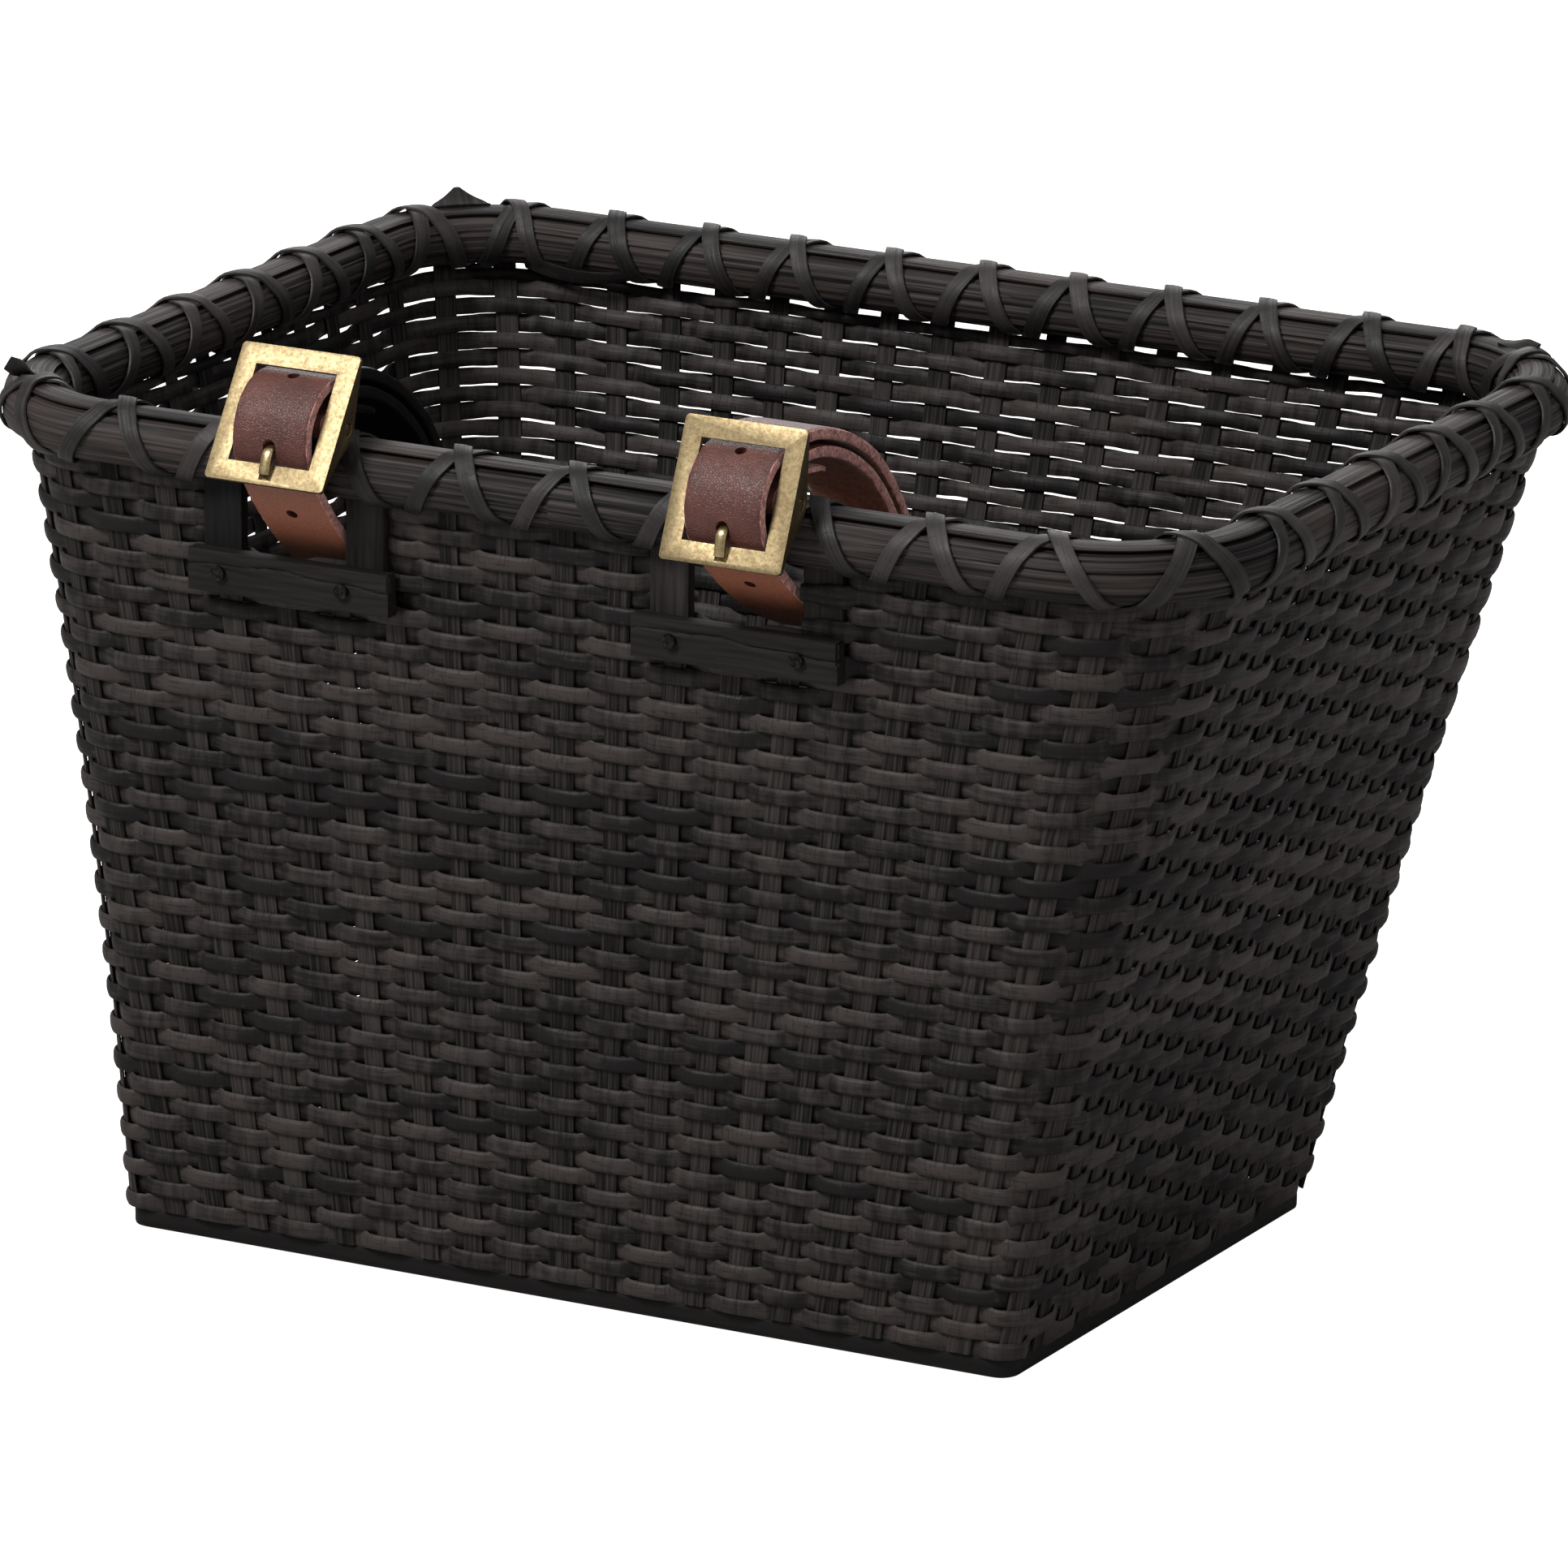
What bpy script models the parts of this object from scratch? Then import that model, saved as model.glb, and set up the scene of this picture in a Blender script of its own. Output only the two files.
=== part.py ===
"""Woven rattan handlebar basket with a lashed rim and two buckled leather straps.

X runs along the basket's width, the strap side faces -Y, and +Z is up. The origin is the centre of
the base board's underside. Numbers are millimetres until they reach a mesh.
"""

import math

import bmesh
import bpy
from mathutils import Vector

MM = 0.001

# Basket body
BASE_WIDTH = 249.0
BASE_DEPTH = 161.0
BASE_THICK = 5.0
BASE_CORNER = 5.0
WALL_THICK = 5.0
WALL_TOP = 197.2
TONGUE_THICK = 3.6
GAP = 0.3

# Rim: centre line of the hoops, seen from above. The strap side of the wall is upright.
RIM_WIDTH = 332.0
RIM_DEPTH = 232.0
RIM_FRONT = -BASE_DEPTH / 2
RIM_Z = 204.0
RIM_CORNERS = (36.0, 42.0, 34.0, 37.0)  # front right, back right, back left, front left
HOOP_HALF_HEIGHT = 6.4
HOOP_REACH = 8.5
REED_HALF_WIDTH = 4.6
REED_THICK = 1.3
SIDE_CURVE = 0.73  # share of a wall's flare that is a straight taper
BACK_CURVE = 1.3
CORNER_STEPS = 7
WALL_LEVELS = (5.3, 40.0, 80.0, 120.0, 160.0, WALL_TOP)

# Strap slots in the front wall
SLOTS = {"left": (-74.9, 29.2), "right": (51.1, 31.0)}  # middle and width
SLOT_BOTTOM = 180.8
POST_WIDTH = 11.0
POST_THICK = 3.6
POST_BOTTOM = 170.3
POST_TOP = 209.6
SLATS = {"left": (-73.4, -19.4), "right": (50.8, -17.4)}  # middle, and where its first nail is
SLAT_SIZE = (57.0, 4.5, 11.0)
SLAT_Z = 175.1
NAIL_SPACING = 34.9
NAIL_HEAD_RADIUS = 1.9
NAIL_SHANK_RADIUS = 0.8
NAIL_DEPTH = 8.4

# Straps and buckles, in the plane across the rim, measured from the middle of each strap's turn
STRAPS = {"left": (-71.4, 10.0), "right": (54.6, 0.0)}  # middle of the strap, lean in degrees
STRAP_TURN_Z = 205.8  # height of the middle of each strap's turn round the rim
STRAP_WIDTH = 21.0
STRAP_THICK = 3.2
FOLD_THICK = 1.6
FRAME_FOOT = (-21.7, -6.1)  # the frame's lower front edge, outwards and upwards from the rim
FRAME_TILT = 23.0
FRAME_WIDTH = 33.2
FRAME_HEIGHT = 35.6
FRAME_THICK = 1.2
BAR_FACE = 5.2  # width of each of the frame's four bars
BAR_POS = (18.0, -3.8)  # centre bar, up the frame and behind its face
BAR_RADIUS = 1.3
BULGE_RADIUS = 14.7
BULGE_CENTRE = (17.8, -9.7)
BULGE_HALF_ANGLE = 59.0
HOLE_RADIUS = 1.5
PRONG_WIDTH = 3.0

FREE_END = [(57.0, -19.0), (56.2, -14.0), (54.2, -8.6), (50.2, -2.9), (45.4, 2.6), (39.3, 8.4),
            (32.3, 13.0), (23.2, 17.3), (12.8, 20.4), (5.0, 21.4), (-2.0, 20.9)]
UNDER_LOOP = [(-11.6, -6.9), (-4.9, -12.9), (3.0, -18.7), (10.8, -23.6), (20.6, -28.6),
              (31.0, -32.4), (41.0, -32.8), (49.4, -28.0), (53.2, -21.5), (52.8, -15.3),
              (50.6, -10.9), (47.0, -5.8), (42.2, -0.2), (36.6, 5.0), (30.1, 9.3), (21.6, 13.4),
              (11.6, 16.2), (3.0, 16.7), (-3.5, 15.2)]
TURNBACK = [(-3.7, 11.7), (3.0, 13.0), (10.0, 12.4), (12.5, 11.7)]
PRONG_LINE = [(17.0, -2.4), (14.0, -1.9), (11.6, -1.2), (9.6, 0.5), (7.9, 1.7), (5.6, 1.5), (2.4, 0.7)]
CHEEK = [(35.0, -0.4), (34.8, -1.0), (30.0, -2.6), (24.0, -4.6), (19.5, -6.2), (16.5, -6.5),
         (14.0, -5.9), (9.0, -3.5), (4.0, -1.7), (0.8, -1.0), (0.6, -0.4)]

RATTAN = ("rattan", (0.028, 0.025, 0.024), 0.62, 0.0)
HOOP_WOOD = ("hoop_cane", (0.036, 0.032, 0.031), 0.58, 0.0)
SLAT_WOOD = ("slat_wood", (0.018, 0.017, 0.016), 0.66, 0.0)
BASE_WOOD = ("base_wood", (0.016, 0.015, 0.014), 0.7, 0.0)
LEATHER = ("leather", (0.16, 0.06, 0.04), 0.5, 0.0)
BRASS = ("antique_brass", (0.5, 0.4, 0.22), 0.36, 1.0)
NAIL_STEEL = ("nail_steel", (0.02, 0.02, 0.021), 0.45, 1.0)


def clear_scene():
    for obj in list(bpy.data.objects):
        bpy.data.objects.remove(obj)


def make_collection(name):
    collection = bpy.data.collections.new(name)
    bpy.context.scene.collection.children.link(collection)
    return collection


def make_material(name, colour, roughness, metallic):
    found = bpy.data.materials.get(name)
    if found:
        return found
    material = bpy.data.materials.new(name)
    material.use_nodes = True
    shader = material.node_tree.nodes["Principled BSDF"]
    shader.inputs["Base Color"].default_value = (*colour, 1.0)
    shader.inputs["Roughness"].default_value = roughness
    shader.inputs["Metallic"].default_value = metallic
    return material


def add_object(name, bm, look=None, origin=(0.0, 0.0, 0.0), smooth=False):
    """Turns a bmesh in millimetres into an object whose own origin is where it turns."""
    origin = Vector(origin)
    bm.normal_update()
    bmesh.ops.recalc_face_normals(bm, faces=bm.faces)
    for vert in bm.verts:
        vert.co = (vert.co - origin) * MM
    mesh = bpy.data.meshes.new(name)
    bm.to_mesh(mesh)
    bm.free()
    obj = bpy.data.objects.new(name, mesh)
    obj.location = origin * MM
    if look:
        mesh.materials.append(make_material(*look))
        BASKET.objects.link(obj)
    else:
        obj.hide_render = True
        obj.display_type = "WIRE"
        CUTTERS.objects.link(obj)
    for polygon in mesh.polygons:
        polygon.use_smooth = smooth
    return obj


def combine(obj, other, operation="DIFFERENCE"):
    modifier = obj.modifiers.new(f"{operation.title()} {other.name}", "BOOLEAN")
    modifier.operation = operation
    modifier.solver = "EXACT"
    modifier.object = other


def box_mesh(low, high):
    bm = bmesh.new()
    bmesh.ops.create_cube(bm, size=1.0)
    low, high = Vector(low), Vector(high)
    for vert in bm.verts:
        vert.co = Vector((low[i] + (vert.co[i] + 0.5) * (high[i] - low[i]) for i in range(3)))
    return bm


def prism_mesh(outline, x_low, x_high):
    """A closed outline of (y, z) points, extruded along X."""
    bm = bmesh.new()
    face = bm.faces.new([bm.verts.new((x_low, y, z)) for y, z in outline])
    made = bmesh.ops.extrude_face_region(bm, geom=[face])["geom"]
    moved = [item for item in made if isinstance(item, bmesh.types.BMVert)]
    bmesh.ops.translate(bm, verts=moved, vec=(x_high - x_low, 0.0, 0.0))
    return bm


def rod_mesh(start, end, radius, segments=20):
    bm = bmesh.new()
    start, end = Vector(start), Vector(end)
    bmesh.ops.create_cone(bm, cap_ends=True, segments=segments, radius1=radius, radius2=radius,
                          depth=(end - start).length)
    turn = (end - start).to_track_quat("Z", "Y").to_matrix()
    for vert in bm.verts:
        vert.co = turn @ vert.co + (start + end) / 2
    return bm


def outline_at(z):
    """Centre line of the wall at height z, as (point, outward normal) pairs."""
    t = min(1.0, max(0.0, (z - BASE_THICK) / (WALL_TOP - BASE_THICK)))
    side = SIDE_CURVE * t + (1 - SIDE_CURVE) * t * t
    back_share = BACK_CURVE * t + (1 - BACK_CURVE) * t * t
    half = BASE_WIDTH / 2 + (RIM_WIDTH - BASE_WIDTH) / 2 * side
    back = RIM_FRONT + BASE_DEPTH + (RIM_DEPTH - BASE_DEPTH) * back_share
    corners = ((half, RIM_FRONT, 1, 1, 270), (half, back, 1, -1, 0),
               (-half, back, -1, -1, 90), (-half, RIM_FRONT, -1, 1, 180))
    pairs = []
    for (x, y, sx, sy, start), rim_radius in zip(corners, RIM_CORNERS):
        radius = BASE_CORNER + (rim_radius - BASE_CORNER) * t
        centre = Vector((x - sx * radius, y + sy * radius))
        for step in range(CORNER_STEPS + 1):
            angle = math.radians(start + 90 * step / CORNER_STEPS)
            normal = Vector((math.cos(angle), math.sin(angle)))
            pairs.append((centre + normal * radius, normal))
    return pairs


def ring_mesh(profile):
    """A hoop: each (offset, z) of the closed profile runs all the way round the basket."""
    bm = bmesh.new()
    loops = []
    for offset, z in profile:
        points = [point + normal * offset for point, normal in outline_at(z)]
        loops.append([bm.verts.new((p.x, p.y, z)) for p in points])
    for first, second in zip(loops, loops[1:] + loops[:1]):
        for i in range(len(first)):
            j = (i + 1) % len(first)
            bm.faces.new((first[i], first[j], second[j], second[i]))
    return bm


def make_base():
    bm = bmesh.new()
    outer = [point for point, _ in outline_at(BASE_THICK)]
    face = bm.faces.new([bm.verts.new((p.x, p.y, 0.0)) for p in outer])
    made = bmesh.ops.extrude_face_region(bm, geom=[face])["geom"]
    moved = [item for item in made if isinstance(item, bmesh.types.BMVert)]
    bmesh.ops.translate(bm, verts=moved, vec=(0.0, 0.0, BASE_THICK))
    add_object("base_board", bm, BASE_WOOD)


def make_wall():
    half = WALL_THICK / 2
    tongue = TONGUE_THICK / 2
    rising = [(half, z) for z in WALL_LEVELS]
    falling = [(-half, z) for z in reversed(WALL_LEVELS)]
    top = POST_TOP
    crown = [(tongue, WALL_TOP + 0.1), (tongue, top), (-tongue, top), (-tongue, WALL_TOP + 0.1)]
    wall = add_object("woven_wall", ring_mesh(rising + crown + falling), RATTAN)
    for side, (centre, width) in SLOTS.items():
        inner = width / 2 - GAP
        outer = width / 2 + POST_WIDTH + GAP
        low, mid, high = POST_BOTTOM - GAP, SLOT_BOTTOM, POST_TOP + 5
        outline = [(-outer, low), (-inner, low), (-inner, mid), (inner, mid),
                   (inner, low), (outer, low), (outer, high), (-outer, high)]
        bm = bmesh.new()
        face = bm.faces.new([bm.verts.new((centre + x, RIM_FRONT - 12, z)) for x, z in outline])
        made = bmesh.ops.extrude_face_region(bm, geom=[face])["geom"]
        moved = [item for item in made if isinstance(item, bmesh.types.BMVert)]
        bmesh.ops.translate(bm, verts=moved, vec=(0.0, 24.0, 0.0))
        combine(wall, add_object(f"slot_cutter_{side}", bm))
    return wall


def make_rim():
    foot, reach = TONGUE_THICK / 2 + GAP, HOOP_REACH
    height = HOOP_HALF_HEIGHT
    bulge = [(foot, -0.96), (4.6, -1.0), (7.1, -0.78), (8.25, -0.4), (reach, 0.0),
             (8.25, 0.4), (7.1, 0.78), (4.6, 1.0), (foot, 0.96)]
    outer = [(offset, RIM_Z + share * height) for offset, share in bulge]
    inner = [(-offset, z) for offset, z in outer]
    add_object("rim_outer_hoop", ring_mesh(outer), HOOP_WOOD)
    add_object("rim_inner_hoop", ring_mesh(inner), HOOP_WOOD)
    low = RIM_Z + height + GAP
    high = low + REED_THICK
    wide = REED_HALF_WIDTH
    reed = [(wide, low), (wide, low + 0.9), (wide - 1.2, high), (1.2 - wide, high),
            (-wide, low + 0.9), (-wide, low)]
    add_object("rim_top_reed", ring_mesh(reed), HOOP_WOOD)


def make_post(name, x_low):
    half = POST_THICK / 2
    shape = box_mesh((x_low, RIM_FRONT - half, POST_BOTTOM), (x_low + POST_WIDTH, RIM_FRONT + half, POST_TOP))
    return add_object(name, shape, SLAT_WOOD)


def make_nail(name, x, face, drilled):
    """A nail: domed head on the slat's face, shank through the slat and into what is behind it."""
    bm = bmesh.new()
    profile = [(0.0, -0.9), (1.2, -0.8), (NAIL_HEAD_RADIUS, -0.3), (NAIL_HEAD_RADIUS, 0.0),
               (NAIL_SHANK_RADIUS, 0.0), (NAIL_SHANK_RADIUS, NAIL_DEPTH - 1.0), (0.0, NAIL_DEPTH)]
    verts = [bm.verts.new((x + r, face - GAP + y, SLAT_Z)) for r, y in profile]
    edges = [bm.edges.new(pair) for pair in zip(verts, verts[1:])]
    bmesh.ops.spin(bm, geom=verts + edges, cent=(x, face, SLAT_Z), axis=(0, 1, 0),
                   angle=math.tau, steps=14, use_merge=True)
    bmesh.ops.remove_doubles(bm, verts=bm.verts, dist=0.001)
    add_object(name, bm, NAIL_STEEL, smooth=True)
    end = face + NAIL_DEPTH + 4
    rod = rod_mesh((x, face - 5, SLAT_Z), (x, end, SLAT_Z), NAIL_SHANK_RADIUS + GAP, 12)
    hole = add_object(f"{name}_hole", rod)
    for obj in drilled:
        combine(obj, hole)


def make_slot_frame(side, wall):
    """Two posts beside the slot, and the slat nailed across them below it."""
    centre, slot_width = SLOTS[side]
    first = make_post(f"post_{side}_a", centre - slot_width / 2 - POST_WIDTH)
    second = make_post(f"post_{side}_b", centre + slot_width / 2)
    width, thick, height = SLAT_SIZE
    slat_centre, first_nail = SLATS[side]
    low, high = SLAT_Z - height / 2, SLAT_Z + height / 2
    face = RIM_FRONT - WALL_THICK / 2 - GAP - thick
    shape = box_mesh((slat_centre - width / 2, face, low), (slat_centre + width / 2, face + thick, high))
    slat = add_object(f"slat_{side}", shape, SLAT_WOOD)
    for suffix, dx, behind in (("a", first_nail, first), ("b", first_nail + NAIL_SPACING, second)):
        make_nail(f"nail_{side}_{suffix}", slat_centre + dx, face, (slat, behind, wall))


def smooth_line(points, steps=4):
    """Catmull-Rom curve through the points."""
    points = [Vector(p) for p in points]
    ends = [2 * points[0] - points[1]] + points + [2 * points[-1] - points[-2]]
    line = []
    for a, b, c, d in zip(ends, ends[1:], ends[2:], ends[3:]):
        for step in range(steps):
            t = step / steps
            line.append(0.5 * (2 * b + (c - a) * t + (2 * a - 5 * b + 4 * c - d) * t * t
                               + (3 * b - a - 3 * c + d) * t * t * t))
    line.append(points[-1])
    return line


def frame_point(s, h):
    """A point s up the buckle frame and h in front of its face, seen from the rim's centre."""
    tilt = math.radians(FRAME_TILT)
    up = Vector((math.sin(tilt), math.cos(tilt)))
    out = Vector((-math.cos(tilt), math.sin(tilt)))
    return Vector(FRAME_FOOT) + up * s + out * h


def bulge_line():
    """The strap where it swells out through the frame's window, from the top bar down."""
    radius = BULGE_RADIUS - STRAP_THICK / 2
    line = []
    for step in range(13):
        angle = math.radians(BULGE_HALF_ANGLE * (1 - step / 6))
        line.append(frame_point(BULGE_CENTRE[0] + radius * math.sin(angle),
                                BULGE_CENTRE[1] + radius * math.cos(angle)))
    return line


def fold_line():
    """The strap's fixed end where it folds round the centre bar."""
    centre = frame_point(*BAR_POS)
    radius = BAR_RADIUS + GAP + FOLD_THICK / 2
    angles = [math.radians(116 + (307 - 116) * step / 9) for step in range(10)]
    return [centre + radius * Vector((math.cos(a), math.sin(a))) for a in angles]


def strap_stations():
    """The whole strap as (point, half thickness), from the free tip to the turned-back end."""
    bulge = bulge_line()
    first = smooth_line(FREE_END + bulge[:1], 3)[:-1]
    under = smooth_line(bulge[-1:] + UNDER_LOOP + fold_line()[:1], 3)[1:-1]
    back = smooth_line(fold_line()[-1:] + TURNBACK, 3)[1:]
    full, thin = STRAP_THICK / 2, FOLD_THICK / 2
    skive = 5
    stations = [(p, full) for p in first + bulge + under[:-skive]]
    for i, p in enumerate(under[-skive:]):
        stations.append((p, full + (thin - full) * (i + 1) / skive))
    stations += [(p, thin) for p in fold_line() + back]
    return stations


def ribbon_mesh(stations, x_low, x_high, place):
    """A strip of leather or metal: each station is a point of the plane across the rim."""
    bm = bmesh.new()
    points = [p for p, _ in stations]
    rows = []
    for i, (point, half) in enumerate(stations):
        along = points[min(i + 1, len(points) - 1)] - points[max(i - 1, 0)]
        across = Vector((-along.y, along.x)).normalized() * half
        corners = [(x_low, point + across), (x_high, point + across),
                   (x_high, point - across), (x_low, point - across)]
        rows.append([bm.verts.new(place(x, p)) for x, p in corners])
    for first, second in zip(rows, rows[1:]):
        for i in range(4):
            j = (i + 1) % 4
            bm.faces.new((first[i], first[j], second[j], second[i]))
    bm.faces.new(rows[0])
    bm.faces.new(rows[-1])
    return bm


def placer(lean):
    """From the plane across the rim to the basket, leaning the whole strap inwards round the rim."""
    turn = math.radians(lean)

    def place(x, point):
        y = point[0] * math.cos(turn) + point[1] * math.sin(turn)
        z = point[1] * math.cos(turn) - point[0] * math.sin(turn)
        return Vector((x, RIM_FRONT + y, STRAP_TURN_Z + z))

    return place


def cut_strap_holes(strap, side, middle, place):
    """Adjustment holes, the longer hole the prong uses, and the slot in the fold for the prong."""
    centre = frame_point(*BULGE_CENTRE)
    for name, angle in (("top", 46.0), ("tail", -128.0)):
        aim = centre + (frame_point(BULGE_CENTRE[0] + math.sin(math.radians(angle)),
                                    BULGE_CENTRE[1] + math.cos(math.radians(angle))) - centre) * 22
        if name == "tail":
            aim, centre = Vector((-9.0, -17.0)), Vector((0.5, -8.0))
        rod = rod_mesh(place(middle, centre), place(middle, aim), HOLE_RADIUS, 12)
        combine(strap, add_object(f"hole_{name}_{side}", rod))
    window = [frame_point(s, h) for s, h in ((6.9, -5.0), (6.9, 5.0), (12.5, 5.0), (12.5, -5.0))]
    outline = [place(0, p).yz for p in window]
    half = PRONG_WIDTH / 2 + 0.6
    combine(strap, add_object(f"hole_prong_{side}", prism_mesh(outline, middle - half, middle + half)))
    bar = frame_point(*BAR_POS)
    rod = rod_mesh(place(middle - half, bar), place(middle + half, bar), 3.7, 20)
    combine(strap, add_object(f"hole_fold_{side}", rod))


def make_frame(side, middle, place):
    """Flat window frame with two cheeks folded back from its sides."""
    origin = place(middle, frame_point(*BAR_POS))
    half = FRAME_WIDTH / 2

    def slab(low, high, front, back):
        corners = ((low, back), (high, back), (high, front), (low, front))
        return [place(0, frame_point(s, h)).yz for s, h in corners]

    plate = prism_mesh(slab(0, FRAME_HEIGHT, 0, -FRAME_THICK), middle - half, middle + half)
    frame = add_object(f"buckle_frame_{side}", plate, BRASS, origin)
    window = slab(BAR_FACE, FRAME_HEIGHT - BAR_FACE, 5, -5)
    inside = half - BAR_FACE
    cut = prism_mesh(window, middle - inside, middle + inside)
    combine(frame, add_object(f"window_{side}", cut))
    notch = rod_mesh(place(middle, frame_point(1.2, 1.5)), place(middle, frame_point(8.0, 1.5)), 2.3, 16)
    combine(frame, add_object(f"notch_{side}", notch))
    cheek = [place(0, frame_point(s, h)).yz for s, h in CHEEK]
    for label, low in (("a", -half), ("b", half - FRAME_THICK)):
        bm = prism_mesh(cheek, middle + low, middle + low + FRAME_THICK)
        combine(frame, add_object(f"cheek_{label}_{side}", bm), "UNION")
    bar = frame_point(*BAR_POS)
    hole = rod_mesh(place(middle - 25, bar), place(middle + 25, bar), BAR_RADIUS + GAP, 16)
    combine(frame, add_object(f"bar_hole_{side}", hole))
    pin = rod_mesh(place(middle - half + 0.3, bar), place(middle + half - 0.3, bar), BAR_RADIUS, 16)
    add_object(f"buckle_bar_{side}", pin, BRASS, origin, smooth=True)


def make_prong(side, middle, place):
    """Tongue of the buckle: an eye on the centre bar and a bent shank that ends on the lower bar."""
    bar = frame_point(*BAR_POS)
    half = PRONG_WIDTH / 2
    line = [frame_point(s, h) for s, h in PRONG_LINE]
    stations = [(p, 0.8) for p in smooth_line(line, 3)]
    eye = rod_mesh(place(middle - half, bar), place(middle + half, bar), 2.7, 20)
    prong = add_object(f"prong_{side}", eye, BRASS, place(middle, bar))
    shank = ribbon_mesh(stations, middle - half + 0.1, middle + half - 0.1, place)
    combine(prong, add_object(f"shank_{side}", shank), "UNION")
    hole = rod_mesh(place(middle - 5, bar), place(middle + 5, bar), BAR_RADIUS + GAP, 16)
    combine(prong, add_object(f"eye_hole_{side}", hole))


def make_strap(side):
    middle, lean = STRAPS[side]
    place = placer(lean)
    half = STRAP_WIDTH / 2
    leather = ribbon_mesh(strap_stations(), middle - half, middle + half, place)
    strap = add_object(f"strap_{side}", leather, LEATHER, (middle, RIM_FRONT, STRAP_TURN_Z))
    cut_strap_holes(strap, side, middle, place)
    make_frame(side, middle, place)
    make_prong(side, middle, place)


clear_scene()
BASKET = make_collection("handlebar_basket")
CUTTERS = make_collection("cutters")
make_base()
WALL = make_wall()
make_rim()
for SIDE in SLOTS:
    make_slot_frame(SIDE, WALL)
    make_strap(SIDE)
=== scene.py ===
"""Looks of the woven handlebar basket: rattan weave, lashed rim, leather straps and brass buckles.

Sizes are millimetres until a mesh is made. The strap side of the basket faces -Y and +Z is up.
"""

import math

import bmesh
import bpy
import numpy as np
from mathutils import Matrix, Vector


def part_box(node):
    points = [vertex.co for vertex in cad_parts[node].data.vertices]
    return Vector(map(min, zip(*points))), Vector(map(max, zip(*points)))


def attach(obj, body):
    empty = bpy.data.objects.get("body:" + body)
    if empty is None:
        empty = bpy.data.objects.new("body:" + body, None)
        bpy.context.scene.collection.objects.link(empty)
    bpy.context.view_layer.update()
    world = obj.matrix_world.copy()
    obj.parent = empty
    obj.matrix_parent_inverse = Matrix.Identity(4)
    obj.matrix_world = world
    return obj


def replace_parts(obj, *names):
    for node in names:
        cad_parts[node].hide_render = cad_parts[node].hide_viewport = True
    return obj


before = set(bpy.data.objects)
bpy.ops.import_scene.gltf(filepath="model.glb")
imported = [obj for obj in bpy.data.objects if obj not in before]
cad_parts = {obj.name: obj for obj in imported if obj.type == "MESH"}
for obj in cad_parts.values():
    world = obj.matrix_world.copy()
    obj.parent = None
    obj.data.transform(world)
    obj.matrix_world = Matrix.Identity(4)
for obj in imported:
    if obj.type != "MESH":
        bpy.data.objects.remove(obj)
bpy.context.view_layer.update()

MM = 0.001
RNG = np.random.default_rng(7)
UP = np.array([0.0, 0.0, 1.0])


def span(node):
    """Lowest and highest corner of a CAD node, in millimetres."""
    low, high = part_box(node)
    return np.array(low) / MM, np.array(high) / MM


# Wall outline, read from the frame
BASE_LOW, BASE_HIGH = span("base_board")
HOOP_LOW, HOOP_HIGH = span("rim_outer_hoop")
HOOP_REACH = 8.5  # from the wall's centre line to the outer face of the rim
BASE_WIDTH = BASE_HIGH[0] - BASE_LOW[0]
BASE_DEPTH = BASE_HIGH[1] - BASE_LOW[1]
BASE_THICK = BASE_HIGH[2]
BASE_CORNER = 5.0
CORNER_POINTS = 15  # points of the outline round each corner
RIM_FRONT = -BASE_DEPTH / 2
RIM_WIDTH = HOOP_HIGH[0] - HOOP_LOW[0] - 2 * HOOP_REACH
RIM_DEPTH = HOOP_HIGH[1] - HOOP_LOW[1] - 2 * HOOP_REACH
RIM_CORNERS = (36.0, 42.0, 34.0, 37.0)  # front right, back right, back left, front left
RIM_Z = (HOOP_HIGH[2] + HOOP_LOW[2]) / 2
HOOP_HALF_HEIGHT = (HOOP_HIGH[2] - HOOP_LOW[2]) / 2
WALL_TOP = 197.2
SIDE_CURVE = 0.73  # how the side walls rise: 1 is straight, less flares towards the rim
BACK_CURVE = 1.3  # and the back wall, which bulges low down

# Weave
STAKES = 66
STAKE_WIDTH = 5.9
STAKE_THICK = 1.05
STAKE_STEP = 3.2  # height between two stations of a stake
ROWS = 44
ROW_PITCH = (WALL_TOP - BASE_THICK) / ROWS
WEAVER_WIDTH = 4.4
WEAVER_THICK = 1.2
WEAVE_DEPTH = 1.15  # how far a weaver's middle swings to either side of the stakes
WEAVE_SHIFT = 0.4  # how far outside the wall's centre line the weave lies
STEPS = 8  # stations of a weaver between two stakes
TIGHT_BELOW = 120.0  # up to this height no wall shows gaps

# Rim
LASHINGS = 36
LASHING_CROWD = 3.3  # turns of the lashing lie closer together at the back of the basket
LASHING_WIDTH = 4.5
LASHING_THICK = 0.9
LASHING_START = 0.15  # place of the first crossing, counted in turns from the middle of the strap side

# Strap slots, posts and slats
SIDES = ("left", "right")
POST_BOTTOM = span("post_left_a")[0][2]
SLOT_BOTTOM = 180.8
SLOT_MIDDLE = 185.0  # a height inside the slots
POST_TUCK = 3.0  # how far the end of a row reaches in behind a post
TUCK_BEND = 7.0  # the stretch over which the end of a row bends in
TUCK_DEPTH = 2.8  # how far in it lies behind the post
LAP_HEIGHT = 2.1  # how far out a row lies that laps over a post

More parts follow.
